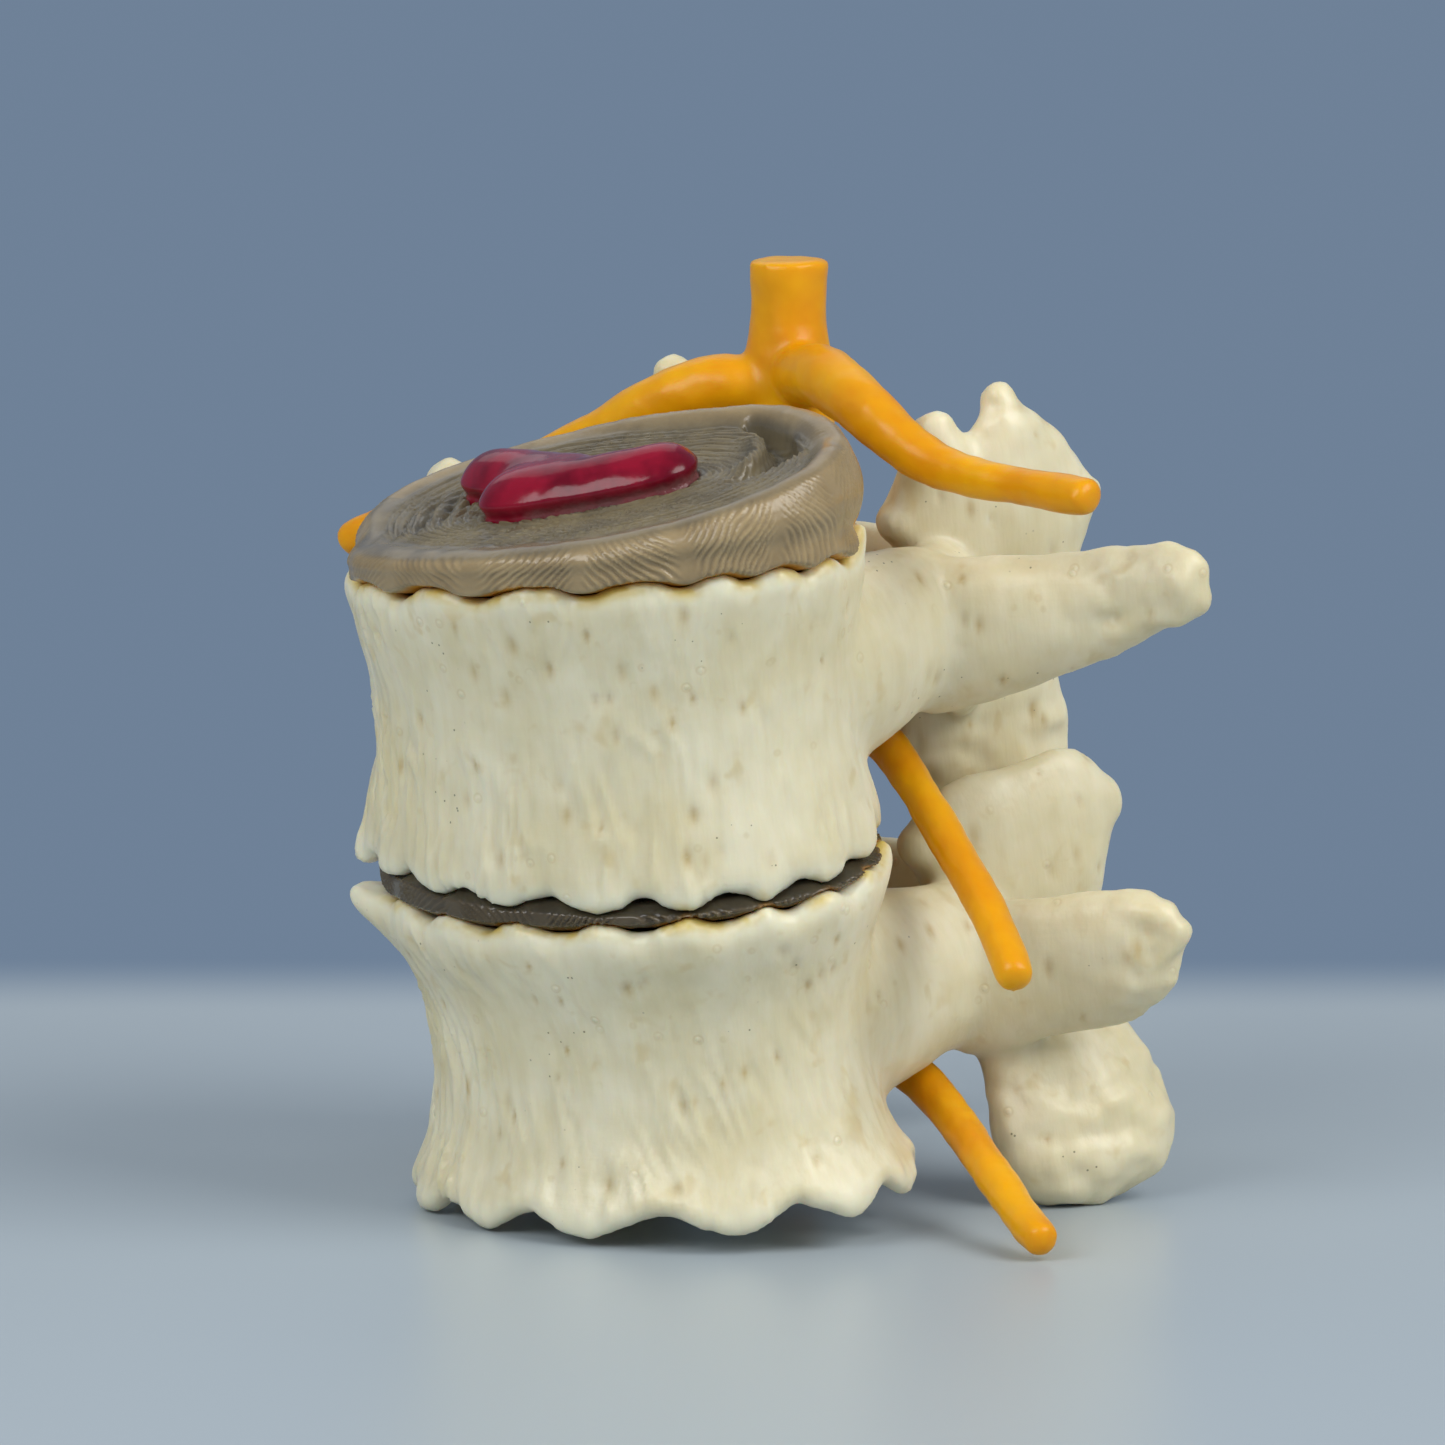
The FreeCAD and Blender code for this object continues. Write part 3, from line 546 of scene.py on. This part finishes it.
def wallRidges(local, place, seed):
    # upright ridges and flutes, strongest on the front right of the body
    x, y, z = local.T
    angle = np.arctan2(y / column["halfDepth"], x / column["halfWidth"])
    angle += place["slant"] * z / 21.0 * (y < 8.0)
    angle += vertebraShape["ridgeBend"] * noiseAt(local, 6.5, (seed, 0.0, 2.0))
    ring, stretch = vertebraShape["ridgesAround"], vertebraShape["ridgeStretch"]
    around = np.stack([np.cos(angle) * ring, np.sin(angle) * ring, z * stretch], axis=1)
    crossing = np.abs(noiseAt(around * np.array([1.5, 1.5, 1.0]), 1.0, (seed, 0.0, 0.0)))
    ridges = 1.0 - np.clip(crossing * vertebraShape["ridgeSharpness"], 0.0, 1.0)
    flutes = noiseAt(around * np.array([2.2, 2.2, 1.5]), 1.0, (0.0, seed, 0.0))
    patches = 0.15 + 1.15 * smoothStep(noiseAt(local, 7.0, (0.0, seed, seed)), -0.25, 0.3)
    away = turnedFrom(np.degrees(angle), vertebraShape["strongest"])
    strength = 0.30 + 0.70 * bell(away, vertebraShape["strongSpan"])
    strength *= 0.55 + 0.45 * smoothStep(-z, -6.0, 5.0)
    height = vertebraShape["ridgeHeight"] * (ridges - 0.3) * patches
    return (height + vertebraShape["fluteDepth"] * flutes) * strength


def knobs(local, seed):
    # knobby ends of the processes and crowns, wavy backs of the lower facets
    x, y, z = local.T
    share = smoothStep(np.abs(x), 30.0, 37.0)
    share = np.maximum(share, 0.8 * smoothStep(y, 17.0, 22.0) * smoothStep(-z, 7.0, 12.0))
    share = np.maximum(share, 0.7 * smoothStep(y, 38.0, 46.0))
    share = np.maximum(share, 1.3 * smoothStep(z, 15.0, 20.0) * (y > 6.0))
    coarse = noiseAt(local * np.array([1.0, 1.0, 1.5]), vertebraShape["knobSize"], (seed, 0.0, seed))
    return share * (coarse + 0.5 * noiseAt(local, 1.7, (seed, 4.0, 0.0)))


def pits(local, mask, seed):
    # upright oval pits at seeded places: how deep, and how stained
    rng = random.Random(seed)
    allowed = np.nonzero(mask > 0.5)[0]
    squeezed = local * np.array([1.0, 1.0, vertebraShape["pitStretch"]])
    tree = treeOf(squeezed)
    depth = np.zeros(len(local))
    stain = np.zeros(len(local))
    for _ in range(vertebraShape["pits"]):
        middle = squeezed[allowed[rng.randrange(len(allowed))]]
        size = rng.uniform(*vertebraShape["pitSizes"])
        deep = rng.uniform(*vertebraShape["pitDepths"])
        tone = rng.uniform(*vertebraShape["pitTones"]) ** 1.4
        for _, i, away in tree.find_range(middle, size * 2.4):
            share = math.exp(-((away / size) ** 2) * 1.5)
            depth[i] = max(depth[i], deep * share)
            stain[i] = max(stain[i], tone * share)
    return depth, stain


def makeVertebra(nodeName, name, place, material, seed):
    obj = remeshed(copyOfNode(nodeName, name), vertebraShape)
    filletRoots(obj, place)
    points, normals = pointsOf(obj.data)
    local = toBody(points, place)
    y, z = local[:, 1], local[:, 2]
    steep = np.abs((normals @ np.array(turnOf(place)))[:, 2])
    upright = fading(steep, 0.55, 0.85)
    radius = bodyRadius(local)
    wall = between(radius, *vertebraShape["wallRing"]) * fading(y, 8.0, 14.0) * upright
    move = wallRidges(local, place, seed) * wall
    lumps = noiseAt(local, vertebraShape["lumpSize"], (0.0, 0.0, seed))
    lumps = lumps + 0.55 * noiseAt(local, 2.2, (seed, seed, 0.0))
    move += vertebraShape["lumpHeight"] * lumps * (0.55 + 0.45 * smoothStep(y, 6.0, 14.0))
    move += vertebraShape["knobHeight"] * knobs(local, seed)
    # uneven rims
    rimDrop = np.minimum(planeLevel(place["top"], local) - z, z - planeLevel(place["base"], local))
    ring = smoothStep(radius, *vertebraShape["rimRing"]) * (y < 14.0)
    rim = fading(rimDrop, *vertebraShape["rimBand"]) * ring
    jitter = noiseAt(local * np.array([1.0, 1.0, 0.4]), 1.7, (seed, 7.0, 0.0))
    move += vertebraShape["rimJitter"] * rim * jitter
    allowed = upright * smoothStep(rimDrop, 1.5, 3.0)
    allowed = np.where(y > 14.0, fading(steep, 0.8, 0.95), allowed)
    depth, stain = pits(local, allowed, seed)
    move -= depth
    points = points + normals * (move * mm)[:, None]
    points[:, 2] = np.maximum(points[:, 2], 0.0)  # nothing sinks into the table
    movePoints(obj.data, points)
    addMask(obj.data, "stain", stain)
    # the rim mask also carries the painted light of the paler thin rims
    addMask(obj.data, "rim", rim)
    addMask(obj.data, "arch", smoothStep(y, 8.0, vertebraShape["archStart"]))
    finishPiece(obj, nodeName, material)
    return obj


lowerVertebra = makeVertebra("lower_vertebra", "lowerVertebra", column["lower"], lowerBone, 3)
upperVertebra = makeVertebra("upper_vertebra", "upperVertebra", column["upper"], upperBone, 8)


# nerve tree, in millimetres

nerveShape = {
    "voxel": 0.32,
    "ease": 10,
    "lumpHeight": 0.14,
    "lumpSize": 5.0,
    "waveHeight": 0.10,
    "waveSize": 1.8,
    "trunk": (-0.17, 2.0),
    "trunkReach": (4.5, 11.0),
    "trunkTop": (58.0, 72.0),
}


def makeNerveTree():
    obj = remeshed(copyOfNode("nerve_tree", "nerveTree"), nerveShape)
    points, normals = pointsOf(obj.data)
    flat = points / mm
    move = nerveShape["lumpHeight"] * noiseAt(flat, nerveShape["lumpSize"])
    move += nerveShape["waveHeight"] * noiseAt(flat, nerveShape["waveSize"], (4.0, 0.0, 0.0))
    movePoints(obj.data, points + normals * (move * mm)[:, None])
    # the thick trunk is deeper in colour: partly its own deeper tone where it is thick, partly
    # painted shade
    middleX, middleY = nerveShape["trunk"]
    away = np.hypot(flat[:, 0] - middleX, flat[:, 1] - middleY)
    trunkToneAndShade = fading(away, *nerveShape["trunkReach"]) * fading(flat[:, 2], *nerveShape["trunkTop"])
    addMask(obj.data, "trunkToneAndShade", trunkToneAndShade)
    finishPiece(obj, "nerve_tree", nerve)
    return obj


nerveTree = makeNerveTree()


# discs and nucleus, in millimetres in a body's own frame
# a lip is its place in degrees, its rise and its half width in degrees

discShape = {
    "voxel": 0.23,
    "ease": 3,
    "topPlane": (19.2, 3.6, 6.8),
    "sideRing": 0.84,
    "clearance": 0.04,
    "pushRounds": 4,
    "hub": (1.6, -2.4),
    "hubLength": 19.0,
    "hubWidth": 9.0,
    "hubTurn": 24.0,
    "band": 3.4,
    "bandRise": 0.6,
    "bandSpan": (-45.0, 5.0, 95.0, 140.0),
    "lamellae": 19.0,
    "lamellaDepth": 0.13,
    "fanWidth": 8.8,
    "groovePitch": 0.80,
    "grooveDepth": 0.13,
    "grooveFront": -45.0,
    "grooveSpan": 55.0,
    "seamRadius": 21.5,
    "pocket": ((8.5, 12.0), (12.4, 10.6), (15.2, 7.2), (16.2, 3.6), (15.4, 0.6)),
    "flapAway": 2.1,
    "flapSpan": 0.85,
    "flapRise": 0.7,
    "foldMiddle": (-14.5, -4.5),
    "foldSpan": (3.2, 4.2),
    "foldPitch": 3.1,
    "foldDepth": 0.95,
    "bean": ((-4.6, -5.6), (-1.8, -5.0), (2.0, -3.9), (6.0, -2.0), (8.4, 0.0)),
    "filmRise": 0.34,
    "filmReach": 1.3,
    "skirt": (-0.4, 0.2, 1.2, 4.2),
    "swellStart": -0.45,
    "swellReach": 3.4,
    "swellEdge": 4.5,
    "easeRounds": 26,
    "lips": ((27.0, 1.8, 7.0), (192.0, 2.25, 9.0)),
    "rightEnd": ((203.0, 1.3, 16.0),),
    "amberReach": 1.2,
}

lowerDiscShape = {
    "swellStart": 0.35,
    "swellReach": 1.6,
    "swellEdge": 3.4,
    "easeRounds": 4,
    "grooveShare": 2.0,
    "amberReach": 0.6,
}

nucleusShape = {
    "voxel": 0.2,
    "ease": 110,
    "swell": 0.85,
    "swellSpan": (0.2, 1.2),
    "flare": 0.22,
    "lumpHeight": 0.12,
    "filmSpan": (0.3, 1.3),
    "paintedSheenSpan": (-8.0, -3.0),
}


def outlineAt(degrees, inset):
    # the kidney outline of a body
    x = (column["halfWidth"] - inset) * np.cos(np.radians(degrees))
    y = (column["halfDepth"] - inset) * np.sin(np.radians(degrees))
    back = np.clip(y / column["halfDepth"], 0.0, None)
    return x, y - column["hollow"] * back * bell(x, column["hollowSpan"])


def reachAlong(turn, x, y):
    # how far an outline reaches in each direction
    own = np.arctan2(y, x)
    order = np.argsort(own)
    return np.interp(turn, own[order], np.hypot(x, y)[order], period=2.0 * math.pi)


def insetOf(local):
    # how far inside the outline each point lies, measured towards the middle
    x, y = outlineAt(np.arange(-180.0, 180.0, 1.0), 0.0)
    reach = reachAlong(np.arctan2(local[:, 1], local[:, 0]), x, y)
    return reach - np.hypot(local[:, 0], local[:, 1])


def lipShare(local, lips):
    x, y = local[:, 0] / column["halfWidth"], local[:, 1] / column["halfDepth"]
    degrees = np.degrees(np.arctan2(y, x))
    total = np.zeros(len(local))
    for middle, rise, half in lips:
        total += rise * bell(turnedFrom(degrees, middle), half)
    return total


def pushedOut(local, wanted, place, neighbours):
    # soft rubber swells outwards until it is stopped by the bone beside it
    trees = [treeOf(toBody(pointsOf(piece.data)[0], place)) for piece in neighbours]
    local = local.copy()
    left = wanted.copy()
    for _ in range(discShape["pushRounds"]):
        for i in np.nonzero(left > 0.03)[0]:
            free = min(tree.find(local[i])[2] for tree in trees) - discShape["clearance"]
            step = max(0.0, min(left[i], free))
            local[i, :2] *= 1.0 + step / math.hypot(local[i, 0], local[i, 1])
            left[i] -= step
    return local


def fans(local, start, height, seed):
    # fans of slanted grooves that change their slant from one fan to the next
    turn = np.arctan2(-local[:, 0] / column["halfWidth"], -local[:, 1] / column["halfDepth"])
    length = turn * discShape["seamRadius"] + start
    share = length / discShape["fanWidth"] + 0.22 * noiseAt(local, 7.0, (0.0, seed, 0.0))
    folded = np.abs((share % 2.0) - 1.0) * discShape["fanWidth"]
    bent = folded + 0.75 * height + 0.10 * height ** 2
    bent += 0.35 * noiseAt(local, 2.0, (seed, 0.0, 0.0))
    wave = np.sin(2.0 * math.pi * bent / discShape["groovePitch"])
    # soft seams between the fans, the deepest grooves on the front left
    seam = smoothStep(np.minimum(folded, discShape["fanWidth"] - folded), 0.1, 1.5)
    degrees = np.degrees(np.arctan2(local[:, 1], local[:, 0]))
    deepest = bell(turnedFrom(degrees, discShape["grooveFront"]), discShape["grooveSpan"])
    return np.sign(wave) * np.abs(wave) ** 0.8 * seam * (0.45 + 0.55 * deepest)


def dipsOf(wave, mask):
    return np.clip(0.5 - 0.5 * wave, 0.0, 1.0) * mask


def ringShare(local):
    # 0 on the plain outer band, 1 on the oval round the nucleus
    hubX, hubY = discShape["hub"]
    outerX, outerY = outlineAt(np.arange(0.0, 360.0, 1.0), discShape["band"])
    awayX, awayY = local[:, 0] - hubX, local[:, 1] - hubY
    turn = np.arctan2(awayY, awayX)
    reach = reachAlong(turn, outerX - hubX, outerY - hubY)
    own = turn - math.radians(discShape["hubTurn"])
    lengthShare = 2.0 * np.cos(own) / discShape["hubLength"]
    inner = 1.0 / np.hypot(lengthShare, 2.0 * np.sin(own) / discShape["hubWidth"])
    return (reach - np.hypot(awayX, awayY)) / (reach - inner)


def awayFromPath(local, path):
    # distance to a row of points, way along it and side of it
    best = np.full(len(local), 1e9)
    along = np.zeros(len(local))
    side = np.zeros(len(local))
    for i, (start, end) in enumerate(zip(path, path[1:])):
        start, run = np.array(start), np.array(end) - np.array(start)
        offset = local[:, :2] - start
        way = np.clip(offset @ run / (run @ run), 0.0, 1.0)
        gap = offset - way[:, None] * run
        away = np.hypot(gap[:, 0], gap[:, 1])
        closer = away < best
        best = np.where(closer, away, best)
        along = np.where(closer, (i + way) / (len(path) - 1.0), along)
        side = np.where(closer, np.sign(run[0] * gap[:, 1] - run[1] * gap[:, 0]), side)
    return best, along, side


def makeNucleus():
    place = column["upper"]
    obj = remeshed(copyOfNode("upper_nucleus", "nucleus"), nucleusShape)
    points, normals = pointsOf(obj.data)
    local = toBody(points, place)
    facing = (normals @ np.array(turnOf(place)))[:, 2]
    height = local[:, 2] - planeLevel(discShape["topPlane"], local)
    move = nucleusShape["swell"] * smoothStep(height, *nucleusShape["swellSpan"])
    move += nucleusShape["lumpHeight"] * noiseAt(local, 3.0)
    move += nucleusShape["flare"] * bell(height + 0.3, 0.9)
    movePoints(obj.data, points + normals * (move * mm)[:, None])
    # wet film low on the front; painted sheen, a lilac reflection, on the saddle of the top towards
    # the lobe
    gap, along, side = awayFromPath(local, discShape["bean"])
    front = smoothStep(gap * (side < 0.0), 1.2, 2.4)
    film = front * fading(height, *nucleusShape["filmSpan"]) * smoothStep(along, 0.1, 0.3)
    addMask(obj.data, "film", film)
    paintedSheen = smoothStep(gap * (side > 0.0), 0.5, 2.2) * smoothStep(facing, 0.3, 0.8)
    addMask(obj.data, "paintedSheen", paintedSheen * smoothStep(local[:, 0], *nucleusShape["paintedSheenSpan"]))
    finishPiece(obj, "upper_nucleus", crimson)
    return obj


def swellFoot(obj, place):
    # the foot of the upper disc swells out to the bone, its right end is drawn in
    local = toBody(pointsOf(obj.data)[0], place)
    level = local[:, 2] - planeLevel(place["top"], local)
    inset = insetOf(local)
    skirt = between(level, *discShape["skirt"]) * (inset < discShape["swellEdge"])
    wanted = np.clip(inset - discShape["swellStart"], 0.0, discShape["swellReach"]) * skirt
    lips = lipShare(local, discShape["lips"]) * fading(inset, 3.0, 8.0) * (level > 0.8)
    local = pushedOut(local, np.maximum(wanted, lips), place, (upperVertebra,))
    narrower = lipShare(local, discShape["rightEnd"]) * fading(inset, 2.0, 9.0) * (level > 0.0)
    local[:, :2] *= (1.0 - narrower / np.hypot(local[:, 0], local[:, 1]))[:, None]
    movePoints(obj.data, fromBody(local, place))
    eased(obj, 0.9 * fading(inset, 3.5, 6.0), discShape["easeRounds"])
    return level


def topLift(local, band, degrees):
    # the outer band stands up at the back left, with a flap on the inner edge of the pocket
    lift = discShape["bandRise"] * band * between(degrees, *discShape["bandSpan"])
    gap, along, side = awayFromPath(local, discShape["pocket"])
    flap = bell(gap - discShape["flapAway"], discShape["flapSpan"]) * (side < 0.0)
    flap *= between(along, 0.0, 0.3, 0.8, 1.0)
    # short folds across the lamellae at the right end
    middleX, middleY = discShape["foldMiddle"]
    spanX, spanY = discShape["foldSpan"]
    folded = bell(local[:, 0] - middleX, spanX) * bell(local[:, 1] - middleY, spanY)
    wave = np.sin((local[:, 0] * 0.9 + local[:, 1] * 0.4) * discShape["foldPitch"])
    folds = discShape["foldDepth"] * folded * (0.5 + 0.5 * wave) ** 2
    return lift, discShape["flapRise"] * flap - folds


def makeUpperDisc():
    place = column["upper"]
    obj = remeshed(copyOfNode("upper_disc", "upperDisc"), discShape)
    level = swellFoot(obj, place)
    points, normals = pointsOf(obj.data)
    local = toBody(points, place)
    facing = (normals @ np.array(turnOf(place)))[:, 2]
    height = local[:, 2] - planeLevel(discShape["topPlane"], local)
    onTop = smoothStep(facing, 0.35, 0.75) * smoothStep(height, -4.0, -3.0)
    onSide = fading(np.abs(facing), 0.70, 0.96) * (bodyRadius(local) > discShape["sideRing"])
    # fine lamellae round the nucleus
    way = ringShare(local)
    wobble = 0.35 * noiseAt(local, 5.0) + 0.16 * noiseAt(local, 1.8, (2.0, 0.0, 0.0))
    rings = np.sin(2.0 * math.pi * (way * discShape["lamellae"] + wobble))
    ringMask = onTop * between(way, -0.02, 0.08, 1.0, 1.1)
    move = discShape["lamellaDepth"] * rings * ringMask
    # fans of grooves on the side
    grooves = fans(local, 0.0, height + 4.0, 5.0)
    reachUp = onSide * smoothStep(local[:, 2] - planeLevel(place["top"], local), 0.0, 0.8)
    move += discShape["grooveDepth"] * grooves * reachUp
    move += 0.10 * noiseAt(local, 2.4, (0.0, 3.0, 0.0)) * onTop
    # wet film climbs up to the nucleus
    film = nearTo(points, nucleus, discShape["filmReach"] * mm) * (level > 2.0)
    move += discShape["filmRise"] * film
    degrees = np.degrees(np.arctan2(local[:, 1], local[:, 0]))
    band = fading(way, -0.10, 0.06) * onTop
    bandLift, foldLift = topLift(local, band, degrees)
    lift = bandLift + foldLift * onTop
    up = np.array(turnOf(place)) @ np.array([0.0, 0.0, 1.0])
    movePoints(obj.data, points + normals * (move * mm)[:, None] + (lift * mm)[:, None] * up)
    # the dips of the lamellae and side grooves get painted shade
    addMask(obj.data, "paintedGrooveShade", dipsOf(rings, ringMask) + 0.8 * dipsOf(grooves, reachUp))
    paleBand = band * (0.25 + 0.5 * smoothStep(degrees, -30.0, 20.0))
    addMask(obj.data, "wall", np.maximum(onSide, paleBand))
    addMask(obj.data, "amber", nearTo(points, upperVertebra, discShape["amberReach"] * mm))
    finishPiece(obj, "upper_disc", upperRubber)
    return obj


def makeLowerDisc():
    place = column["lower"]
    shape = lowerDiscShape
    obj = remeshed(copyOfNode("lower_disc", "lowerDisc"), discShape)
    local = toBody(pointsOf(obj.data)[0], place)
    inset = insetOf(local)
    wanted = np.clip(inset - shape["swellStart"], 0.0, shape["swellReach"])
    wanted *= inset < shape["swellEdge"]
    local = pushedOut(local, wanted, place, (lowerVertebra, upperVertebra))
    movePoints(obj.data, fromBody(local, place))
    eased(obj, 0.8 * fading(inset, 3.0, 5.0), shape["easeRounds"])
    points, normals = pointsOf(obj.data)
    local = toBody(points, place)
    facing = (normals @ np.array(turnOf(place)))[:, 2]
    onSide = fading(np.abs(facing), 0.5, 0.9) * (bodyRadius(local) > discShape["sideRing"])
    grooves = fans(local, 2.0, local[:, 2] - planeLevel(place["top"], local), 9.0)
    move = shape["grooveShare"] * discShape["grooveDepth"] * grooves * onSide
    movePoints(obj.data, points + normals * (move * mm)[:, None])
    # the dips of the side grooves get painted shade
    addMask(obj.data, "paintedGrooveShade", dipsOf(grooves, onSide))
    addMask(obj.data, "wall", onSide)
    addMask(obj.data, "amber", 0.5 * nearTo(points, lowerVertebra, shape["amberReach"] * mm))
    finishPiece(obj, "lower_disc", lowerRubber)
    return obj


nucleus = makeNucleus()
upperDisc = makeUpperDisc()
lowerDisc = makeLowerDisc()


# yellowed glue along the joints

glueLook = {"discReach": 1.7, "jointReach": 2.4}


def addGlue(piece, disc, neighbour):
    points = pointsOf(piece.data)[0]
    seam = nearTo(points, disc, glueLook["discReach"] * mm)
    joint = nearTo(points, neighbour, glueLook["jointReach"] * mm)
    addMask(piece.data, "glue", np.maximum(seam, joint))


addGlue(lowerVertebra, lowerDisc, upperVertebra)
addGlue(upperVertebra, upperDisc, lowerVertebra)
print("glue done")


# floor, light and camera; a lamp is its place, aim, size, power and colour

studio = {
    "near": (0.400, 0.458, 0.500),
    "far": (0.158, 0.220, 0.312),
    "floorFinish": {"Roughness": 0.34, "Specular IOR Level": 0.3},
    "tableEdge": 0.113,
    "blur": 0.018,
    "azimuth": 37.0,
    "elevation": 8.0,
    "distance": 1.0,
    "target": (0.005146, -0.014823, 0.044353),
    "lens": 282.8,
    "sky": (0.86, 0.93, 1.0),
    "skyStrength": 0.42,
    "lamps": {
        "keyLight": ((1.0, 0.05, 0.85), (0.0, 0.0, 0.04), (0.8, 0.8), 11.5, (1.0, 0.985, 0.955)),
        "fillLight": ((-0.05, -1.05, 0.75), (0.0, 0.0, 0.04), (0.8, 0.6), 7.4, (1.0, 1.0, 1.0)),
        "backLight": ((-0.7, 0.6, 0.9), (0.0, 0.0, 0.05), (0.9, 0.9), 1.3, (1.0, 1.0, 1.0)),
    },
}


def viewAxes():
    azimuth = math.radians(studio["azimuth"])
    elevation = math.radians(studio["elevation"])
    level = Vector((-math.sin(azimuth), math.cos(azimuth), 0.0))
    return level, level * math.cos(elevation) + Vector((0.0, 0.0, -math.sin(elevation)))


def seenRay(tree):
    # 1 for what the camera sees, straight, mirrored or through glass
    path = addNode(tree, "LightPath")
    total = calc(tree, "ADD", path.outputs["Is Camera Ray"], path.outputs["Is Glossy Ray"])
    return calc(tree, "MINIMUM", calc(tree, "ADD", total, path.outputs["Is Transmission Ray"]), 1.0)


def mixShaders(tree, share, first, second, out):
    both = addNode(tree, "MixShader")
    tree.links.new(share, both.inputs[0])
    tree.links.new(first, both.inputs[1])
    tree.links.new(second, both.inputs[2])
    tree.links.new(both.outputs["Shader"], tree.nodes[out].inputs["Surface"])


def makeFloor():
    bm = bmesh.new()
    bmesh.ops.create_grid(bm, x_segments=2, y_segments=2, size=4.0)
    mesh = bpy.data.meshes.new("floor")
    bm.to_mesh(mesh)
    bm.free()
    floor = link(bpy.data.objects.new("floor", mesh))
    material, tree, shader = newMaterial("pale table", studio["floorFinish"])
    shader.inputs["Base Color"].default_value = (*studio["near"], 1.0)
    # beyond the table edge the backdrop keeps one even tone
    coordinates = addNode(tree, "TexCoord")
    along = addNode(tree, "VectorMath", operation="DOT_PRODUCT")
    tree.links.new(coordinates.outputs["Object"], along.inputs[0])
    along.inputs[1].default_value = viewAxes()[0]
    edge, blur = studio["tableEdge"], studio["blur"]
    beyond = spanNode(tree, along.outputs["Value"], edge - blur, edge + blur, 1.0)
    wall = addNode(tree, "Emission", {"Color": (*studio["far"], 1.0)})
    share = calc(tree, "MULTIPLY", beyond, seenRay(tree))
    mixShaders(tree, share, shader.outputs["BSDF"], wall.outputs["Emission"], "Material Output")
    mesh.materials.append(material)


def makeLamps():
    for name, (place, aim, size, power, colour) in studio["lamps"].items():
        data = bpy.data.lights.new(name, "AREA")
        data.shape = "RECTANGLE"
        data.size, data.size_y = size
        data.energy = power
        data.color = colour
        lamp = link(bpy.data.objects.new(name, data))
        lamp.location = place
        lamp.rotation_euler = (Vector(aim) - Vector(place)).to_track_quat("-Z", "Y").to_euler()


def makeWorld():
    # pale light all round; the camera and gloss see the wall's tone
    world = bpy.data.worlds.new("studio")
    world.use_nodes = True
    tree = world.node_tree
    sky = tree.nodes["Background"]
    sky.inputs["Color"].default_value = (*studio["sky"], 1.0)
    sky.inputs["Strength"].default_value = studio["skyStrength"]
    wall = addNode(tree, "Background", {"Color": (*studio["far"], 1.0), "Strength": 1.0})
    lit, seen = sky.outputs["Background"], wall.outputs["Background"]
    mixShaders(tree, seenRay(tree), lit, seen, "World Output")
    bpy.context.scene.world = world


def makeCamera():
    _, forward = viewAxes()
    data = bpy.data.cameras.new("camera")
    data.lens = studio["lens"]
    data.sensor_width = 36.0
    data.clip_end = 20.0
    camera = link(bpy.data.objects.new("camera", data))
    camera.location = Vector(studio["target"]) - forward * studio["distance"]
    camera.rotation_euler = forward.to_track_quat("-Z", "Y").to_euler()
    bpy.context.scene.camera = camera


makeFloor()
makeLamps()
makeWorld()
makeCamera()
bpy.context.scene.view_settings.view_transform = "Standard"
print("studio done")
